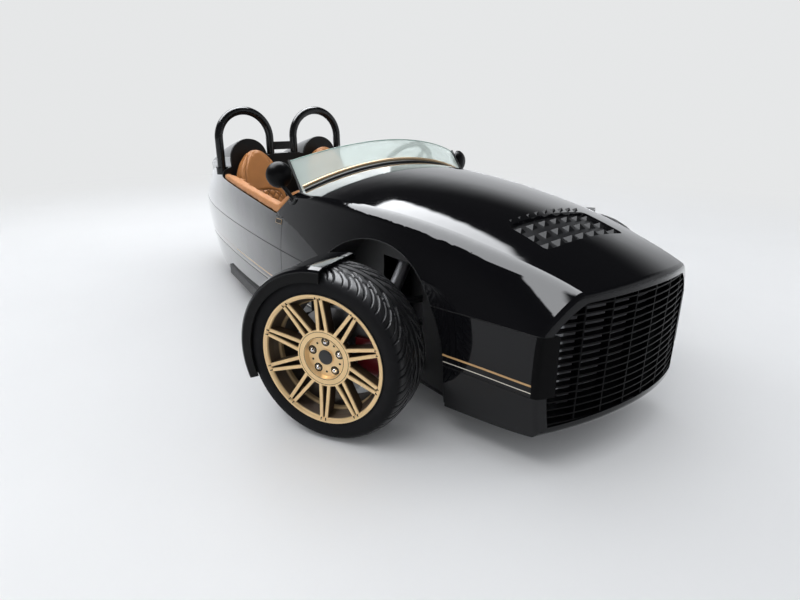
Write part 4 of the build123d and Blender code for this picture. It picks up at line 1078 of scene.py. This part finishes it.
class CAR_OT_screen_trim(bpy.types.Operator):
    """Set the seal and the bronze strip along the glass foot, its hooks and the glass edge"""

    bl_idname = "car.screen_trim"
    bl_label = "Screen trim"

    def execute(self, context):
        hood = tree_of("hood_panel", "rear_upper_panel", "dashboard")
        across = np.linspace(-STRIP_HALF_W, STRIP_HALF_W, 81)
        height = np.full_like(across, 0.85)
        for _ in range(4):
            place = glass_y(across, height)
            height = np.array([surface_height(hood, x, y) for x, y in zip(across, place)])
        path = np.stack([across, glass_y(across, height) - 0.006, height + 0.002], axis=-1)
        seal, strip, hooks, edge = Shape(), Shape(), Shape(), Shape()
        seal.tube(path + SEAL_OFF, SEAL_R)
        strip.tube(path + STRIP_OFF, STRIP_R)
        turn = np.linspace(-0.4, 3.0, 16)
        hook_y = path[0, 1] + 0.03 + HOOK_BACK * np.cos(turn)
        hook_z = path[0, 2] - 0.03 - HOOK_DOWN * np.sin(turn)
        for side in SIGNS:
            hook_x = [side * surface_side(hood, side, y, z) for y, z in zip(hook_y, hook_z)]
            hooks.tube(np.stack([hook_x, hook_y, hook_z], axis=-1), HOOK_R)
        edge_x = np.linspace(-GLASS_HALF_W, GLASS_HALF_W, 61)
        edge_z = GLASS_TOP_Z - (edge_x / GLASS_HALF_W) ** 2 * (GLASS_TOP_Z - GLASS_SIDE_Z)
        edge.tube(np.stack([edge_x, glass_y(edge_x, edge_z) + 0.003, edge_z], axis=-1), EDGE_R, 8)
        seal.piece("screen_seal", satin_trim, "trim_black")
        strip.piece("screen_strip", bronze_trim, "gold")
        hooks.piece("screen_hooks", satin_trim, "trim_black")
        edge.piece("screen_edge", glass_edge, "glass_clear")
        return {"FINISHED"}


class CAR_OT_flank_fittings(bpy.types.Operator):
    """Add the blank side badges with their rims, and the bolts at the hoops' feet"""

    bl_idname = "car.flank_fittings"
    bl_label = "Flank fittings"

    def execute(self, context):
        flanks = tree_of("hood_panel", "rear_upper_panel", "rear_lower_panel", "front_lower_panel")
        plates, rims, bolts = Shape(), Shape(), Shape()
        for side in SIGNS:
            x = side * (surface_side(flanks, side, BADGE_Y, BADGE_Z) + 0.0005)
            pose = Pose((x, BADGE_Y, BADGE_Z), (0, side, 0), (side, 0.0, 0.25))
            plate = rectangle(-PLATE_X, PLATE_X, -PLATE_Y, PLATE_Y)
            plates.prism(plate, BADGE_SINK, PLATE_OUT, pose)
            reach_x, reach_y = RIM_X + RIM_HALF, RIM_Y + RIM_HALF
            for tall in (RIM_Y, -RIM_Y):
                rod = rectangle(-reach_x, reach_x, tall - RIM_HALF, tall + RIM_HALF)
                rims.prism(rod, BADGE_SINK, RIM_OUT, pose)
            for end in (-RIM_X, RIM_X):
                rod = rectangle(end - RIM_HALF, end + RIM_HALF, -reach_y, reach_y)
                rims.prism(rod, BADGE_SINK, RIM_OUT, pose)
            plates.prism(rectangle(*BAR), BADGE_SINK, BAR_OUT, pose)
        for x, z in HOOP_FEET:
            for turn in BOLT_TURNS:
                aside, back = BOLT_CIRCLE * math.cos(turn), BOLT_CIRCLE * math.sin(turn)
                foot = Pose((x + aside, HOOP_Y + back, z - 0.004), (1, 0, 0), (0, 0, 1))
                bolts.prism(hexagon(BOLT_R), 0.0, BOLT_TALL, foot)
        plates.piece("badge_plates", satin_trim, "trim_black")
        rims.piece("badge_rims", bronze_trim, "gold")
        bolts.piece("hoop_bolts", powder_coat, "frame_black")
        return {"FINISHED"}


class CAR_OT_vent_spikes(bpy.types.Operator):
    """Add the row of small spikes behind the hood vent"""

    bl_idname = "car.vent_spikes"
    bl_label = "Vent spikes"

    def execute(self, context):
        hood = tree_of("hood_panel")
        spikes = Shape()
        for i in range(SPIKES):
            x = SPIKE_X + i * SPIKE_PITCH
            size = SPIKE_SIZE + SPIKE_SIZE * smooth_step(x, *SPIKE_GROWTH)
            pose = Pose((x, SPIKE_Y, surface_height(hood, x, SPIKE_Y)), (1, 0, 0), (0, -0.3, 1))
            outline = rectangle(-size, size, -size * 0.7, size * 1.2)
            foot = np.array([(*corner, SPIKE_SINK) for corner in outline])
            tip = np.array([(0, -size * 0.3, size * 1.1)] * 4)
            spikes.grid(pose.placed(np.stack([foot, tip])), wrap_columns=True)
            spikes.grid(pose.placed(np.stack([foot[[0, 1]], foot[[3, 2]]])), flip=True)
        spikes.piece("vent_spikes", gloss_trim, "trim_black", smooth=20)
        return {"FINISHED"}


def applied(piece):
    """The object's mesh with its modifiers applied; the object goes."""
    graph = bpy.context.evaluated_depsgraph_get()
    result = bpy.data.meshes.new_from_object(piece.evaluated_get(graph))
    result.name = piece.name + "_applied"
    bpy.data.objects.remove(piece)
    return result


def even_mesh(node, voxel, shrink, rounds=0):
    """A closed copy of a node's mesh, drawn in a little, remeshed into even faces and, if rounds are given,
    smoothed.
    """
    mesh = NODES[node].data.copy()
    mesh.materials.clear()
    weld(mesh)
    piece = added(node + "_even", mesh)
    draw_in = piece.modifiers.new("draw_in", "DISPLACE")
    draw_in.mid_level = 0.0
    draw_in.strength = -shrink
    even = piece.modifiers.new("even", "REMESH")
    even.mode = "VOXEL"
    even.voxel_size = voxel
    if rounds:
        soft = piece.modifiers.new("soft", "SMOOTH")
        soft.factor = 0.5
        soft.iterations = rounds
    return applied(piece)


def puffed(mesh, held, reach):
    """Blows the mesh up as cloth, holding the points for which held is true, and caps how far
    a point moves."""
    start = points_of(mesh)
    piece = added("pad", mesh)
    group = piece.vertex_groups.new(name="held")
    group.add(np.flatnonzero(held).tolist(), 1.0, "REPLACE")
    cloth = piece.modifiers.new("cloth", "CLOTH")
    cloth.settings.quality = 4
    cloth.settings.vertex_group_mass = group.name
    cloth.settings.use_pressure = True
    cloth.settings.uniform_pressure_force = PRESSURE
    cloth.settings.effector_weights.gravity = 0.0
    cloth.point_cache.frame_start = 1
    cloth.point_cache.frame_end = CLOTH_STEPS
    for step in range(1, CLOTH_STEPS + 1):
        bpy.context.scene.frame_set(step)
    result = applied(piece)
    bpy.context.scene.frame_set(1)
    off = points_of(result) - start
    length = np.linalg.norm(off, axis=1)[:, None]
    off *= np.minimum(1.0, reach / np.maximum(length, 1e-9))
    return moved(result, start + off)


def refined(mesh):
    """The mesh with one subdivision applied."""
    piece = added("refined", mesh)
    finer = piece.modifiers.new("finer", "SUBSURF")
    finer.levels = finer.render_levels = 1
    return applied(piece)


def groove(distance, half):
    """1 on a sewn line and 0 away from it, by a rounded valley: e^-((distance / half)^2)."""
    return np.exp(-((distance / half) ** 2))


def quilted(x, y, half_x, half_y):
    """Rise of a quilted zone about its middle, and the mask of its sewn lines and border, which the
    leather darkens with painted shade: inside the round border (x / half_x)^3 + (y / half_y)^3 = 1
    the diamonds crown by the product of two sines, and sink along two crossing sets of lines."""
    reach = (np.abs(x / half_x) ** 3 + np.abs(y / half_y) ** 3) ** (1 / 3)
    inside = cut(reach, 0.97, 1.0)
    one, two = (x + DIAMOND_SLOPE * y) / DIAMOND, (x - DIAMOND_SLOPE * y) / DIAMOND
    off = np.minimum(np.abs(one - np.round(one)), np.abs(two - np.round(two))) * DIAMOND
    crown = np.abs(np.sin(np.pi * one) * np.sin(np.pi * two))
    lines = groove(off, SEWN_LINE[0])
    border = groove((reach - 1.0) * (half_x + half_y) / 2, SEWN_BORDER[0])
    rise = inside * (crown * CROWN - lines * SEWN_LINE[1]) - border * SEWN_BORDER[1]
    return rise, np.maximum(inside * lines, border)


def corners_of(node):
    """A node's lowest and highest corners as arrays."""
    return (np.array(corner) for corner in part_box(node))


class CAR_OT_seats(bpy.types.Operator):
    """Pad and sew the seats, and round off the cockpit rails"""

    bl_idname = "car.seats"
    bl_label = "Seats and rails"

    def execute(self, context):
        for node, name, work, fill in (
            ("seat_cushions", "cushion_pads", self.cushion, 0.7),
            ("seat_backs", "back_pads", self.back, 0.75),
            ("cockpit_rails", "rail_pads", self.rail, 0.6),
        ):
            pad = finished(work(node), name, tan_leather, "root", (node,), 60)
        return {"FINISHED"}

    def cushion(self, node):
        """The cushions: pinned where they lie on the floor, crowned on top and quilted in diamonds
        inside a round border seam."""
        low, high = corners_of(node)
        mesh = even_mesh(node, SEAT_VOXEL, CUSHION_SHRINK)
        held = points_of(mesh)[:, 2] < low[2] + CUSHION_PINNED
        mesh = refined(puffed(mesh, held, CUSHION_REACH))
        points, normals = points_of(mesh), normals_of(mesh)
        middle = (low[1] + high[1]) / 2
        top = smooth_step(normals[:, 2], 0.5, 0.8)
        top *= smooth_step(points[:, 2], high[2] - 0.05, high[2] - 0.02)
        x, y = np.abs(points[:, 0]) - SEAT_X, points[:, 1] - middle
        rise, sewn_shade = quilted(x, y, *CUSHION_ZONE)
        # Mask of the sewn lines, which the leather darkens as painted shade in the grooves
        mark(mesh, "sewn_shade", sewn_shade * top)
        points[:, 2] += rise * top
        return moved(mesh, points)

    def back(self, node):
        """The backs: held along their rear faces, with a seam inside each edge of the front face
        and a quilted zone with a round top over the lower half."""
        low, high = corners_of(node)
        mesh = even_mesh(node, SEAT_VOXEL, BACK_SHRINK)
        mesh = refined(puffed(mesh, normals_of(mesh)[:, 1] > BACK_PINNED, BACK_REACH))
        points, normals = points_of(mesh), normals_of(mesh)
        x = np.abs(points[:, 0]) - SEAT_X
        up = (points[:, 2] - low[2]) / (high[2] - low[2])
        half = np.interp(up, *BACK_OUTLINE)
        front = smooth_step(-normals[:, 1], 0.35, 0.7)
        seam = groove(np.abs(x) - (half - EDGE_SEAM_IN), SEWN_EDGE[0]) * smooth_step(up, 0.1, 0.16)
        along = (points[:, 2] - low[2]) / math.cos(BACK_LEAN)
        rise, sewn_shade = quilted(x, along - BACK_ZONE_UP, *BACK_ZONE)
        # The sewn lines and, more faintly, the edge seam get painted shade in the leather
        mark(mesh, "sewn_shade", np.maximum(sewn_shade, seam * 0.35) * front)
        return moved(mesh, points + normals * ((rise - seam * SEWN_EDGE[1]) * front)[:, None])

    def rail(self, node):
        """The rails: remeshed, their edges smoothed round like stuffed leather."""
        return refined(even_mesh(node, RAIL_VOXEL, RAIL_SHRINK, RAIL_ROUNDS))


def lay_floor(tint):
    """A wide pale floor with a faint mottling. Far off the eye sees the plain backdrop instead."""
    mesh = bpy.data.meshes.new("floor")
    corners = rectangle(-FLOOR_REACH, FLOOR_REACH, -FLOOR_REACH, FLOOR_REACH)
    mesh.from_pydata([(x, y, 0) for x, y in corners], [], [(0, 1, 2, 3)])
    floor = added("floor", mesh)
    graph = Graph("floor")
    mottle = graph.noise(1.4, 5.0)
    near = graph.surface(
        Base_Color=graph.mix(mottle, tint, shaded(tint, 0.96)), Roughness=0.55 + mottle * 0.1,
        Specular_IOR_Level=0.25,
    )
    far = graph.node("Emission", {}, {0: BACKDROP, 1: 1.0})
    distance = graph.node("VectorMath", {"operation": "LENGTH"}, {0: graph.place()}, out="Value")
    seen = graph.step(distance, *FLOOR_FADE) * graph.node("LightPath", out="Is Camera Ray")
    graph.show(graph.blend_shaders(seen, near, far))
    mesh.materials.append(graph.material)


def light_world():
    """Soft light from all round. The eye and glass see the plain backdrop; gloss sees pale walls,
    darker ahead of the car, a dark ceiling and a wide bright panel in it."""
    world = bpy.data.worlds.new("studio")
    bpy.context.scene.world = world
    world.use_nodes = True
    graph = Graph("studio", world.node_tree, "World")
    x, y, z = graph.axes(graph.node("TexCoord", out=0))
    height = graph.greatest(z, 0.01)
    panel = graph.line(x / height, *PANEL_X) * graph.line(y / height, *PANEL_Y) * (z > 0.05)
    behind_car = graph.step(x + y * 0.6, -0.6, 0.1)
    wall = (1 - graph.step(z, *WALL_TOP)) * (0.12 + behind_car * 0.88)
    shown = wall * WALL_LIGHT + CEILING_LIGHT + panel * PANEL_LIGHT
    gloss = graph.node("Background", {}, {0: COOL_WHITE, 1: shown})
    soft = graph.node("Background", {}, {0: COOL_WHITE, 1: SOFT_LIGHT})
    seen = graph.node("Background", {}, {0: BACKDROP, 1: 1.0})
    camera, glossy, transmission = (graph.node("LightPath", out=name) for name in RAY_KINDS)
    lit = graph.blend_shaders(glossy, soft, gloss)
    graph.show(graph.blend_shaders(graph.greatest(camera, transmission), lit, seen))


def hang_light(name, place, aim, size, power):
    """A soft rectangular light at a place, turned towards a point and left out of reflections."""
    data = bpy.data.lights.new(name, "AREA")
    data.shape = "RECTANGLE"
    data.size, data.size_y = size
    data.energy = power
    lamp = added(name, data)
    lamp.location = place
    lamp.rotation_euler = (Vector(aim) - Vector(place)).to_track_quat("-Z", "Y").to_euler()
    lamp.visible_glossy = False


class CAR_OT_stage(bpy.types.Operator):
    """Lay the floor, set the lights and place the camera"""

    bl_idname = "car.stage"
    bl_label = "Stage"

    def execute(self, context):
        values = context.scene.car_stage
        lay_floor(tuple(values.floor))
        light_world()
        for name, place, aim, size, share in LAMPS:
            hang_light(name, place, aim, size, values.key_power * share)
        data = bpy.data.cameras.new("camera")
        data.lens = values.focal_length
        camera = added("camera", data)
        camera.location = values.camera_place
        camera.rotation_euler = (math.pi / 2 - values.dip, 0.0, values.heading)
        context.scene.camera = camera
        context.scene.view_settings.view_transform = "Standard"
        return {"FINISHED"}


class CAR_PT_panel(bpy.types.Panel):
    """Lists the car's values and its steps"""

    bl_idname = "CAR_PT_panel"
    bl_label = "Three-wheeled car"
    bl_space_type = "VIEW_3D"
    bl_region_type = "UI"
    bl_category = "Car"

    def draw(self, context):
        layout = self.layout
        for group in (context.scene.car_finish, context.scene.car_stage):
            for name in group.__annotations__:
                layout.prop(group, name)
        for operator in OPERATORS:
            layout.operator(operator.bl_idname)


OPERATORS = (
    CAR_OT_frame_finish,
    CAR_OT_tyres,
    CAR_OT_wheels,
    CAR_OT_screen_trim,
    CAR_OT_flank_fittings,
    CAR_OT_vent_spikes,
    CAR_OT_seats,
    CAR_OT_stage,
)
CLASSES = (CarFinish, CarStage, *OPERATORS, CAR_PT_panel)


def register():
    """Registers the classes and adds the value groups to the scene."""
    for entry in CLASSES:
        bpy.utils.register_class(entry)
    bpy.types.Scene.car_finish = PointerProperty(type=CarFinish)
    bpy.types.Scene.car_stage = PointerProperty(type=CarStage)


def unregister():
    """Takes the value groups and the classes away again."""
    del bpy.types.Scene.car_finish
    del bpy.types.Scene.car_stage
    for entry in reversed(CLASSES):
        bpy.utils.unregister_class(entry)


def main():
    """Builds everything in order."""
    register()
    for operator in OPERATORS:
        category, name = operator.bl_idname.split(".")
        getattr(getattr(bpy.ops, category), name)()


if __name__ == "__main__":
    main()
